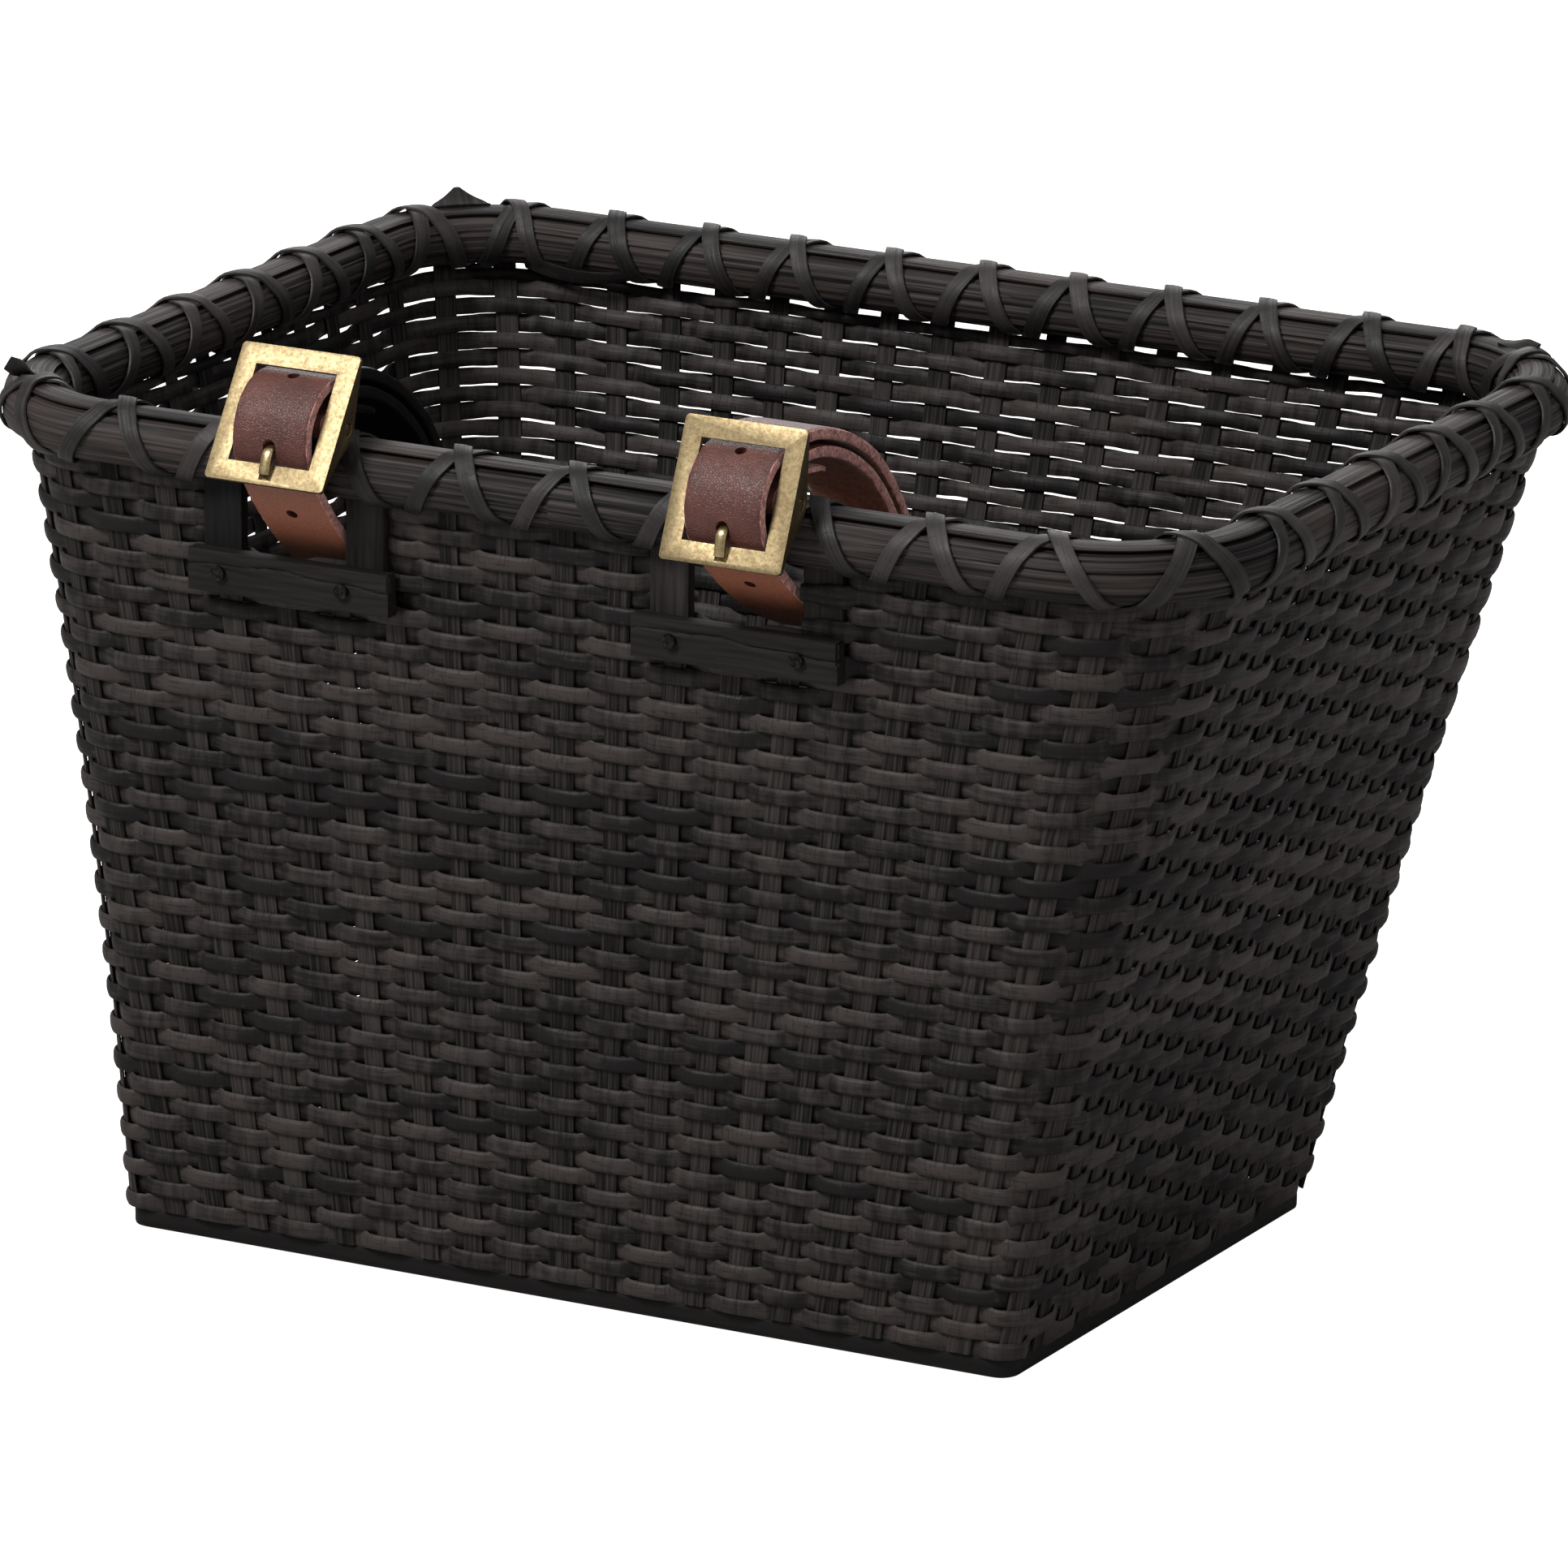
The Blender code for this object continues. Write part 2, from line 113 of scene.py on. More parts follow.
# Straps and buckles, in the plane across the rim, measured from the middle of each strap's turn
STRAP_TURN_Z = 205.8
LEAN = {"left": 10.0, "right": 0.0}  # degrees that each strap leans into the basket
STRAP_WIDTH = 21.0
STRAP_THICK = 3.2
FOLD_THICK = 1.6  # where the strap is thinned to fold round the centre bar
STRAP_COLUMNS = 17  # points of a strap's section across each face
EDGE_STEPS = (0.72, 0.3, -0.2, -0.65)  # and down each cut edge, as shares of half its thickness
FRAME_FOOT = (-21.7, -6.1)  # lower end of the buckle frame's face
FRAME_TILT = 23.0
FRAME_WIDTH = 33.2
FRAME_HEIGHT = 35.6
FRAME_THICK = 1.2
BAR_FACE = 5.2  # width of the frame's metal round its window
BAR_POS = (18.0, -3.8)  # centre bar: up the frame, and in front of its face
BAR_RADIUS = 1.3
BAR_HOLE = BAR_RADIUS + 0.3  # radius of what turns on the centre bar
BULGE_RADIUS = 14.7
BULGE_CENTRE = (17.8, -9.7)  # up the frame, and in front of its face
BULGE_HALF_ANGLE = 59.0
HOLE_RADIUS = 1.5
PRONG_WIDTH = 3.0
FREE_END = [(57.0, -19.0), (56.2, -14.0), (54.2, -8.6), (50.2, -2.9), (45.4, 2.6), (39.3, 8.4),
            (32.3, 13.0), (23.2, 17.3), (12.8, 20.4), (5.0, 21.4), (-2.0, 20.9)]
UNDER_LOOP = [(-11.6, -6.9), (-4.9, -12.9), (3.0, -18.7), (10.8, -23.6), (20.6, -28.6),
              (31.0, -32.4), (41.0, -32.8), (49.4, -28.0), (53.2, -21.5), (52.8, -15.3),
              (50.6, -10.9), (47.0, -5.8), (42.2, -0.2), (36.6, 5.0), (30.1, 9.3), (21.6, 13.4),
              (11.6, 16.2), (3.0, 16.7), (-3.5, 15.2)]
TURNBACK = [(-3.7, 11.7), (3.0, 13.0), (10.0, 12.4), (12.5, 11.7)]
# Prong and cheek, up the frame and in front of its face
PRONG_LINE = [(17.0, -2.4), (14.0, -1.9), (11.6, -1.2), (9.6, 0.5), (7.9, 1.7), (5.6, 1.5), (2.4, 0.7)]
CHEEK = [(35.0, -0.4), (34.8, -1.0), (30.0, -2.6), (24.0, -4.6), (19.5, -6.2), (16.5, -6.5),
         (14.0, -5.9), (9.0, -3.5), (4.0, -1.7), (0.8, -1.0), (0.6, -0.4)]

# Camera: angles in degrees (azimuth, elevation, roll), target and distance in millimetres
CAMERA_ANGLES = (28.21, 15.89, 0.48)
CAMERA_TARGET = (0.0, 35.5, 110.0)
CAMERA_DISTANCE = 3298.7
CAMERA_LENS = 301.2
CAMERA_SHIFT = (-0.00275, -0.01526)

# Lights, in metres and watts: place, size across and energy
LIGHT_AIM = (0.0, 0.03, 0.12)
LIGHTS = {"key": ((-0.9, -1.7, 2.1), 0.9, 68.0), "fill": ((2.2, -0.9, 1.2), 1.5, 7.0),
          "top": ((0.1, 0.5, 2.4), 1.2, 15.0), "rear": ((-1.2, 2.4, 1.3), 1.4, 16.0)}


# ---------------------------------------------------------------- shape helpers

def smoothstep(x):
    x = np.clip(x, 0.0, 1.0)
    return x * x * (3 - 2 * x)


def unit(vectors):
    return vectors / np.linalg.norm(vectors, axis=-1, keepdims=True)


def slow_noise(count, knots, closed=False):
    """Smooth random values between -1 and 1 along a strip."""
    values = RNG.uniform(-1, 1, max(knots, 2))
    if closed:
        values[-1] = values[0]
    t = np.linspace(0, len(values) - 1, count)
    index = np.clip(np.floor(t).astype(int), 0, len(values) - 2)
    share = smoothstep(t - index)
    return values[index] * (1 - share) + values[index + 1] * share


def turning(outline):
    """Positive for a closed outline that goes round anticlockwise."""
    return np.cross(outline, np.roll(outline, -1, axis=0)).sum()


def outline_points(z):
    """The wall's centre line at height z as a closed polyline of x, y and outward normal."""
    t = min(1.0, max(0.0, (z - BASE_THICK) / (WALL_TOP - BASE_THICK)))
    side = SIDE_CURVE * t + (1 - SIDE_CURVE) * t * t
    back_share = BACK_CURVE * t + (1 - BACK_CURVE) * t * t
    half = BASE_WIDTH / 2 + (RIM_WIDTH - BASE_WIDTH) / 2 * side
    back = RIM_FRONT + BASE_DEPTH + (RIM_DEPTH - BASE_DEPTH) * back_share
    corners = ((half, RIM_FRONT, 1, 1, 270), (half, back, 1, -1, 0),
               (-half, back, -1, -1, 90), (-half, RIM_FRONT, -1, 1, 180))
    rows = [(0.0, RIM_FRONT, 0.0, -1.0)]
    for (x, y, sx, sy, start), rim_radius in zip(corners, RIM_CORNERS):
        radius = BASE_CORNER + (rim_radius - BASE_CORNER) * t
        for angle in np.radians(np.linspace(start, start + 90, CORNER_POINTS)):
            nx, ny = math.cos(angle), math.sin(angle)
            rows.append((x - sx * radius + nx * radius, y + sy * radius + ny * radius, nx, ny))
    return np.array(rows + rows[:1])


def wall_at(shares, z):
    """Points and outward normals at shares of the way round from the middle of the strap side, and the
    length of the whole way."""
    rows = outline_points(z)
    lengths = np.linalg.norm(np.diff(rows[:, :2], axis=0), axis=1)
    reach = np.concatenate([[0.0], np.cumsum(lengths)])
    aim = np.mod(shares, 1.0) * reach[-1]
    x, y, nx, ny = (np.interp(aim, reach, rows[:, i]) for i in range(4))
    points = np.stack([x, y, np.full_like(x, z)], axis=1)
    return points, unit(np.stack([nx, ny, np.zeros_like(nx)], axis=1)), reach[-1]


def wall_frames(shares, z):
    """Point, tangent, wall-up and outward direction at each share of the way round."""
    points, flat, _ = wall_at(shares, z)
    rise = unit(wall_at(shares, z + 2.0)[0] - wall_at(shares, z - 2.0)[0])
    tangent = unit(np.cross(UP, flat))
    out = unit(np.cross(tangent, rise))
    return points, tangent, unit(np.cross(out, tangent)), out


class Strips:
    """Strips swept along paths, gathered into one mesh. Each corner keeps where it lies on its strip
    (along, across and through it, in metres, from a start of the strip's own) and its tone."""

    SPREAD = 3000.0  # the starts are spread over this many millimetres, so that no two strips look alike
    SCATTER = np.array([0.618, 0.755, 0.57])

    def __init__(self):
        self.points = []
        self.faces = []
        self.strand = []
        self.tone = []
        self.total = 0
        self.strips = 0

    def add(self, centres, across, out, profile, tone=0.5, closed=False):
        """profile is (stations, corners, 2): across and out offsets, going round in one sense."""
        count, corners = profile.shape[:2]
        points = (centres[:, None, :] + across[:, None, :] * profile[..., :1]
                  + out[:, None, :] * profile[..., 1:])
        steps = np.linalg.norm(np.diff(centres, axis=0, append=centres[:1]), axis=1)
        along = np.concatenate([[0.0], np.cumsum(steps)])
        ring = np.arange(corners)
        i, j = np.meshgrid(np.arange(count if closed else count - 1), ring, indexing="ij")
        i2, j2 = (i + 1) % count, (j + 1) % corners
        around = ((i, j, along[i]), (i, j2, along[i]), (i2, j2, along[i + 1]), (i2, j, along[i + 1]))
        quads = np.stack([a * corners + b for a, b, _ in around], axis=-1).reshape(-1, 4)
        strand = np.stack([np.stack([s, profile[a, b, 0], profile[a, b, 1]], axis=-1)
                           for a, b, s in around], axis=-2).reshape(-1, 4, 3)
        tones = np.broadcast_to(tone, (count,))
        tone4 = np.stack([tones[a] for a, _, _ in around], axis=-1).reshape(-1, 4)
        middle = count // 2
        travel = centres[middle] - centres[middle - 1]
        turn = np.dot(np.cross(across[middle], out[middle]), travel) * turning(profile[middle])
        if turn < 0:
            quads, strand, tone4 = quads[:, ::-1], strand[:, ::-1], tone4[:, ::-1]
        self.strips += 1
        start = self.SPREAD * np.modf(self.strips * self.SCATTER)[0]
        self.points.append(points.reshape(-1, 3))
        self.faces += (quads + self.total).tolist()
        self.strand.append((strand.reshape(-1, 3) + start) * MM)
        self.tone.append(tone4.reshape(-1))
        if not closed:
            for station, flip in ((0, turn > 0), (count - 1, turn < 0)):
                order = ring[::-1] if flip else ring
                self.faces.append((station * corners + order + self.total).tolist())
                end = np.column_stack([np.full(corners, along[station]), profile[station][order]])
                self.strand.append((end + start) * MM)
                self.tone.append(np.full(corners, tones[station]))
        self.total += count * corners

    def build(self, name, material, body, sharp):
        mesh = bpy.data.meshes.new(name)
        mesh.from_pydata((np.concatenate(self.points) * MM).tolist(), [], self.faces)
        strand = mesh.attributes.new("strand", "FLOAT_VECTOR", "CORNER")
        strand.data.foreach_set("vector", np.concatenate(self.strand).astype(np.float32).ravel())
        tone = mesh.attributes.new("tone", "FLOAT", "CORNER")
        tone.data.foreach_set("value", np.concatenate(self.tone).astype(np.float32))
        mesh.materials.append(material)
        return finish_piece(name, mesh, body, sharp)


def mesh_from(bm, name, *materials):
    """A mesh in metres from a bmesh in millimetres, with its faces turned outwards."""
    for vert in bm.verts:
        vert.co *= MM
    bmesh.ops.recalc_face_normals(bm, faces=bm.faces)
    mesh = bpy.data.meshes.new(name)
    bm.to_mesh(mesh)
    bm.free()
    for material in materials:
        mesh.materials.append(material)
    return mesh


def skin_rings(bm, rings):
    """Faces between rings of vertices, one after another, and one over each end."""
    for first, second in zip(rings, rings[1:]):
        for i in range(len(first)):
            j = (i + 1) % len(first)
            bm.faces.new((first[i], first[j], second[j], second[i]))
    bm.faces.new(rings[0])
    bm.faces.new(rings[-1])


def link_object(name, data):
    obj = bpy.data.objects.new(name, data)
    bpy.context.scene.collection.objects.link(obj)
    return obj


def shade(mesh, sharp):
    """Smooth shading, apart from edges that turn by more than this many degrees."""
    mesh.shade_smooth()
    mesh.set_sharp_from_angle(angle=math.radians(sharp))


def finish_piece(name, mesh, body, sharp):
    shade(mesh, sharp)
    obj = link_object(name, mesh)
    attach(obj, body)
    return obj


# Cross-sections of a strip as (across, out) shares of its width and thickness
LENS = np.array([(-0.5, -0.16), (-0.44, 0.2), (-0.26, 0.42), (0.0, 0.5), (0.26, 0.42),
                 (0.44, 0.2), (0.5, -0.16), (0.44, -0.42), (0.0, -0.5), (-0.44, -0.42)])
BAND = np.array([(-0.5, -0.3), (-0.485, 0.26), (-0.28, 0.42), (0.0, 0.5), (0.28, 0.42),
                 (0.485, 0.26), (0.5, -0.3), (0.46, -0.45), (0.0, -0.5), (-0.46, -0.45)])


def sized(shape, widths, thicks):
    """The cross-section at each station of a strip."""
    return shape[None] * np.stack(np.broadcast_arrays(widths, thicks), axis=-1)[:, None, :]


# ---------------------------------------------------------------- materials

def node_tree(name):
    material = bpy.data.materials.new(name)
    material.use_nodes = True
    tree = material.node_tree
    return material, tree, tree.nodes["Principled BSDF"]


def set_socket(tree, socket, value):
    """Links another node's output to a socket, or sets the socket to a number, vector or colour."""
    if isinstance(value, bpy.types.NodeSocket):
        tree.links.new(value, socket)
    elif socket.type == "RGBA":
        socket.default_value = (*value, 1.0)
    else:
        socket.default_value = value


def feed(tree, node, **inputs):
    for key, value in inputs.items():
        set_socket(tree, node.inputs[key.replace("_", " ")], value)


def add_node(tree, kind, settings=None, **inputs):
    node = tree.nodes.new(kind)
    for key, value in (settings or {}).items():
        setattr(node, key, value)
    feed(tree, node, **inputs)
    return node


def object_place(tree):
    return add_node(tree, "ShaderNodeTexCoord").outputs["Object"]


def attribute(tree, name, output):
    return add_node(tree, "ShaderNodeAttribute", {"attribute_name": name}).outputs[output]


def stretched_noise(tree, vector, scale, detail=4.0, roughness=0.6):
    """Noise on a vector scaled by its own amount along each axis."""
    mapping = add_node(tree, "ShaderNodeMapping", Vector=vector, Scale=scale)
    noise = add_node(tree, "ShaderNodeTexNoise", Vector=mapping.outputs[0], Scale=1.0,
                     Detail=detail, Roughness=roughness)
    return noise.outputs[0]


def ramp(tree, factor, stops):
    node = tree.nodes.new("ShaderNodeValToRGB")
    elements = node.color_ramp.elements
    while len(elements) < len(stops):
        elements.new(0.5)
    for element, (place, colour) in zip(elements, stops):
        element.position = place
        element.color = (*colour, 1.0)
    tree.links.new(factor, node.inputs[0])
    return node.outputs[0]


def grey(value):
    return (value, value, value)


def mix_colour(tree, kind, factor, first, second):
    node = add_node(tree, "ShaderNodeMix", {"data_type": "RGBA", "blend_type": kind})
    for index, value in ((0, factor), (6, first), (7, second)):
        set_socket(tree, node.inputs[index], value)
    return node.outputs[2]


def maths(tree, operation, first, second):
    node = add_node(tree, "ShaderNodeMath", {"operation": operation})
    for socket, value in zip(node.inputs, (first, second)):
        set_socket(tree, socket, value)
    return node.outputs[0]


def blend(tree, first, second, share):
    """The two values added, the first in this share and the second in the rest."""
    return maths(tree, "ADD", maths(tree, "MULTIPLY", first, share),
                 maths(tree, "MULTIPLY", second, 1.0 - share))


def bump(tree, shader, layers):
    """Bump layers as (height, strength, distance in mm), one on top of another."""
    normal = None
    for height, strength, distance in layers:
        node = add_node(tree, "ShaderNodeBump", Height=height, Strength=strength, Distance=distance * MM)
        if normal:
            tree.links.new(normal, node.inputs["Normal"])
        normal = node.outputs[0]
    tree.links.new(normal, shader.inputs["Normal"])


def cane_material(name, dark, light, streak, contrast, rough, specular, relief, cracks=0.0,
                  patch=(330.0, 60.0, 60.0)):
    """Stained cane: streaks along the strip (their width and length in mm), patches where the stain took
    unevenly (how many to a metre, each way), pores and cross cracks."""
    material, tree, shader = node_tree(name)
    place = attribute(tree, "strand", "Vector")
    tone = attribute(tree, "tone", "Fac")
    wide, along = (1000.0 / size for size in streak)
    streaks = stretched_noise(tree, place, (along, wide, wide))
    fine = stretched_noise(tree, place, (along * 3, wide * 2, wide * 2), 2.0)
    patches = stretched_noise(tree, place, patch, 3.0, 0.55)
    toned = maths(tree, "MULTIPLY", maths(tree, "SUBTRACT", tone, 0.5), 0.42)
    share = maths(tree, "ADD", blend(tree, streaks, patches, contrast), toned)
    colour = ramp(tree, share, ((0.38, dark), (0.5, tuple(np.add(dark, light) * 0.48)), (0.63, light)))
    pores = ramp(tree, fine, ((0.32, grey(0.45)), (0.46, grey(1.0))))
    worn = mix_colour(tree, "MULTIPLY", 0.8, colour, pores)
    layers = [(streaks, relief, 0.25), (fine, relief * 0.7, 0.08)]
    if cracks:
        ticks = stretched_noise(tree, place, (1500.0, 160.0, 160.0), 3.0, 0.65)
        lines = ramp(tree, ticks, ((0.34, grey(0.35)), (0.42, grey(1.0))))
        worn = mix_colour(tree, "MULTIPLY", cracks, worn, lines)
        layers.append((lines, cracks, 0.12))
    roughness = ramp(tree, streaks, ((0.3, grey(rough + 0.12)), (0.7, grey(rough - 0.08))))
    feed(tree, shader, Base_Color=worn, Roughness=roughness, Specular_IOR_Level=specular)
    bump(tree, shader, layers)
    return material


def leather_material(name, dark, light, tail, rough):
    """Grain side of the leather: pebbled, a little worn, with the tail's colour where its tone is high."""
    material, tree, shader = node_tree(name)
    place = object_place(tree)
    clouds = stretched_noise(tree, place, (110.0,) * 3, 4.0)
    body = ramp(tree, clouds, ((0.3, dark), (0.72, light)))
    colour = mix_colour(tree, "MIX", attribute(tree, "tone", "Fac"), body, tail)
    cells = add_node(tree, "ShaderNodeTexVoronoi", {"feature": "DISTANCE_TO_EDGE"},
                     Vector=place, Scale=1500.0)
    creases = ramp(tree, cells.outputs["Distance"], ((0.0, grey(0.0)), (0.22, grey(1.0))))
    lines = stretched_noise(tree, attribute(tree, "strand", "Vector"), (500.0, 160.0, 160.0), 5.0, 0.65)
    pebble = stretched_noise(tree, place, (1300.0,) * 3, 3.0, 0.55)
    # Multiplying by the creases darkens the pebble grain's crease lines: painted shade
    feed(tree, shader, Base_Color=mix_colour(tree, "MULTIPLY", 0.3, colour, creases),
         Roughness=ramp(tree, pebble, ((0.3, grey(rough + 0.1)), (0.7, grey(rough - 0.07)))),
         Specular_IOR_Level=0.48, Coat_Weight=0.06, Coat_Roughness=0.4)
    bump(tree, shader, ((pebble, 0.85, 0.26), (creases, 0.6, 0.12), (lines, 0.25, 0.1)))
    return material


def fibre_material(name, dark, light, size, sheen=0.25):
    """Raw leather: short tangled fibres of about this many mm, on cut edges and on the flesh side."""
    material, tree, shader = node_tree(name)
    place = object_place(tree)
    tangle = stretched_noise(tree, place, (1000.0 / size,) * 3, 6.0, 0.75)
    coarse = stretched_noise(tree, place, (400.0 / size,) * 3, 3.0, 0.6)
    colour = ramp(tree, blend(tree, tangle, coarse, 0.65), ((0.38, dark), (0.58, light)))
    feed(tree, shader, Base_Color=colour, Roughness=0.92, Specular_IOR_Level=0.2,
         Sheen_Weight=sheen, Sheen_Roughness=0.5)
    bump(tree, shader, ((tangle, 0.9, 0.3), (coarse, 0.6, 0.3)))
    return material


def brass_material(name, dark, middle, light, rough):
    """Antique brass: cloudy patina, dark specks and fine wiping scratches."""
    material, tree, shader = node_tree(name)
    place = object_place(tree)
    clouds = stretched_noise(tree, place, (800.0,) * 3, 6.0, 0.75)
    specks = stretched_noise(tree, place, (1700.0,) * 3, 3.0, 0.6)
    scratch = stretched_noise(tree, place, (240.0, 2600.0, 900.0), 2.0, 0.5)
    base = ramp(tree, clouds, ((0.34, dark), (0.5, middle), (0.68, light)))
    dots = ramp(tree, specks, ((0.36, grey(0.42)), (0.5, grey(1.0))))
    feed(tree, shader, Base_Color=mix_colour(tree, "MULTIPLY", 0.38, base, dots), Metallic=1.0,
         Roughness=maths(tree, "ADD", maths(tree, "MULTIPLY", clouds, -0.25), rough + 0.12))
    bump(tree, shader, ((clouds, 0.3, 0.08), (specks, 0.25, 0.03), (scratch, 0.2, 0.02)))
    return material


def wood_material(name, dark, light, axis, rough=0.75):
    """Stained split wood: grain along one axis of the object, with open pores."""
    material, tree, shader = node_tree(name)
    place = object_place(tree)
    scale = [900.0] * 3
    scale[axis] = 40.0
    grain = stretched_noise(tree, place, tuple(scale), 5.0, 0.65)
    broad = stretched_noise(tree, place, tuple(s * 0.25 for s in scale), 3.0)
    colour = ramp(tree, blend(tree, grain, broad, 0.6), ((0.34, dark), (0.62, light)))
    feed(tree, shader, Base_Color=colour, Roughness=rough, Specular_IOR_Level=0.2)
    bump(tree, shader, ((grain, 0.7, 0.2), (broad, 0.5, 0.3)))
    return material


WEAVER_CANE = cane_material(
    "weaver_cane", (0.0050, 0.0039, 0.0036), (0.038, 0.0308, 0.0286),
    streak=(1.2, 20.0), contrast=0.42, rough=0.54, specular=0.2, relief=0.6, cracks=0.65)
STAKE_CANE = cane_material(
    "stake_cane", (0.0025, 0.0021, 0.0019), (0.037, 0.0308, 0.0287),
    streak=(0.8, 34.0), contrast=0.9, rough=0.62, specular=0.15, relief=1.0, patch=(60.0, 120.0, 120.0))
HOOP_CANE = cane_material(
    "hoop_cane", (0.0015, 0.0012, 0.0011), (0.043, 0.0334, 0.0308),
    streak=(0.95, 60.0), contrast=0.92, rough=0.58, specular=0.2, relief=1.3, patch=(30.0, 150.0, 150.0))
LASHING_CANE = cane_material(
    "lashing_cane", (0.0065, 0.0054, 0.005), (0.0295, 0.0247, 0.0231),
    streak=(1.0, 30.0), contrast=0.7, rough=0.54, specular=0.3, relief=0.8, cracks=0.4)
POST_WOOD = wood_material("post_wood", (0.003, 0.0026, 0.0024), (0.03, 0.0255, 0.024), 2)
# A near-black copy of the post wood: painted shade on the post beside the left strap
SHADED_POST_WOOD = wood_material("shaded_post_wood", (0.001, 0.001, 0.001), (0.005, 0.0045, 0.0042), 2)
SLAT_WOOD = wood_material("slat_wood", (0.0025, 0.0021, 0.002), (0.0125, 0.0106, 0.0099), 0)
BASE_WOOD = wood_material("base_wood", (0.0014, 0.0011, 0.001), (0.0052, 0.0041, 0.0038), 0, 0.62)
# The tail colour is a lighter tan, raised further as painted light to lift the shade under the buckle
LEATHER = leather_material("grain_leather", (0.062, 0.0145, 0.0098), (0.128, 0.035, 0.0235),
                           (0.4, 0.14, 0.074), 0.4)
RAW_EDGE = fibre_material("raw_edge", (0.1, 0.028, 0.024), (0.66, 0.3, 0.26), 1.0)
FLESH_SIDE = fibre_material("flesh_side", (0.12, 0.035, 0.018), (0.36, 0.135, 0.066), 1.1)
# Near-black copies of the leather and its fibres: painted shade for the left strap inside the basket
SHADED_LEATHER = leather_material("shaded_leather", (0.001, 0.001, 0.001), (0.003, 0.0026, 0.0025),
                                (0.003, 0.0026, 0.0025), 0.6)
SHADED_FIBRE = fibre_material("shaded_fibre", (0.0004, 0.0004, 0.0004), (0.0022, 0.0018, 0.0018), 0.5, 0.0)
BRASS = brass_material("antique_brass", (0.145, 0.107, 0.056), (0.205, 0.156, 0.084),
                       (0.27, 0.21, 0.119), 0.44)
# Brighter, glossier brass for the rounded edges and the prong: partly rubbed metal, partly painted highlight
BRASS_RUB_AND_HIGHLIGHT = brass_material("rubbed_and_highlit_brass", (0.24, 0.175, 0.08), (0.44, 0.335, 0.17),
                            (0.66, 0.53, 0.3), 0.34)
NAIL_STEEL = brass_material("nail_steel", (0.008, 0.008, 0.008), (0.025, 0.024, 0.023),
                            (0.07, 0.066, 0.062), 0.45)


# ---------------------------------------------------------------- woven wall

def x_range(node):
    low, high = span(node)
    return low[0], high[0]


# X ranges of the two posts beside each strap slot
SLOTS = {side: (x_range(f"post_{side}_a"), x_range(f"post_{side}_b")) for side in SIDES}


def stake_top(share):
    """Stakes under a strap slot end behind its slat, stakes behind a post end under it, and the others run
    up into the rim."""
    point, _, _ = wall_at(np.array([share]), SLOT_MIDDLE)
    x, y, _ = point[0]
    if y <= RIM_FRONT + 1:
        for first, second in SLOTS.values():
            if first[1] + POST_TUCK < x < second[0] - POST_TUCK:
                return SLOT_BOTTOM - 1.5
            if first[0] - 3.2 < x < second[1] + 3.2:
                return POST_BOTTOM - 0.5
    return RIM_Z + 3


def grooved_profile(count, width, thick):
    """Flat reed with lengthwise grooves on both faces, which wander a little along it."""
    columns = 13
    x = np.linspace(-0.5, 0.5, columns)
    outer = np.zeros((count, columns))
    inner = np.zeros((count, columns))
    for face in (outer, inner):
        depth = RNG.uniform(0.05, 0.36, columns) * RNG.choice([0.1, 1.0], columns)
        for column in range(1, columns - 1):
            face[:, column] = depth[column] * (0.8 + 0.35 * slow_noise(count, count // 8 + 2))
    crown = thick * (np.sqrt(np.clip(1 - (np.abs(x) * 1.96) ** 4, 0, 1)) * 0.5)
    across = (width * (1 + 0.05 * slow_noise(count, count // 9 + 2)))[:, None] * x
    front = np.stack([across, crown - outer], axis=-1)
    back = np.stack([across, inner - crown], axis=-1)
    return np.concatenate([front, back[:, ::-1]], axis=1)


def add_stake(strips, index):
    """One stake, from the base board up, which drifts a little sideways and outwards."""
    share = np.array([index / STAKES])
    heights = np.arange(BASE_THICK + 0.2, stake_top(share[0]) + 0.01, STAKE_STEP)
    drift = 0.35 * slow_noise(len(heights), 7)
    lift = 0.15 * slow_noise(len(heights), 9)
    frames = [wall_frames(share, z) for z in heights]
    points, across, _, out = (np.concatenate(column) for column in zip(*frames))
    centres = points + across * drift[:, None] + out * (lift + WEAVE_SHIFT)[:, None]
    width = STAKE_WIDTH * RNG.uniform(0.86, 1.1)
    profile = grooved_profile(len(heights), width, STAKE_THICK)
    strips.add(centres, across, out, profile, tone=RNG.uniform(0.32, 0.68))


def make_stakes():
    half = STAKES // 2
    for name, start in (("stakes_right", 0), ("stakes_left", half)):
        strips = Strips()
        for index in range(start, start + half):
            add_stake(strips, index)
        strips.build(name, STAKE_CANE, "basket", 60)


def cut_runs(row, z, length):
    """Stretches of a row that the posts cut, in mm round the wall, and whether each laps over a post: every
    other row starts on the front of the last post instead of behind it."""
    (left_a, left_b), (right_a, right_b) = SLOTS["left"], SLOTS["right"]
    laps = row % 2 == 0
    start = right_b[0] - RNG.uniform(-0.6, 1.0) if laps else right_b[1] - POST_TUCK
    runs = [(start, left_a[0] + POST_TUCK + length, laps),
            (left_b[1] - POST_TUCK, right_a[0] + POST_TUCK, False)]
    if z < SLOT_BOTTOM - 2:
        runs += [(first[1] - POST_TUCK, second[0] + POST_TUCK, False) for first, second in SLOTS.values()]
    return runs


def weave_wave(place):
    """From 1 in front of a stake to -1 behind the next, at a place counted in stakes."""
    return 1.16 * np.cos(np.pi * place) - 0.16 * np.cos(3 * np.pi * place)


def openness(points):
    """How loosely the wall is woven: 0 low down and on the strap and right sides, up to 1 high on the
    other two."""
    x, y, z = points.T
    back = smoothstep((y - RIM_FRONT - BASE_DEPTH + 14.0) / 20.0)
    left = smoothstep((-x - BASE_WIDTH / 2 + 8.0) / 20.0) * smoothstep((y - RIM_FRONT - 12) / 20)
    return np.clip(back + left, 0, 1) * smoothstep((z - TIGHT_BELOW) / 22.0)


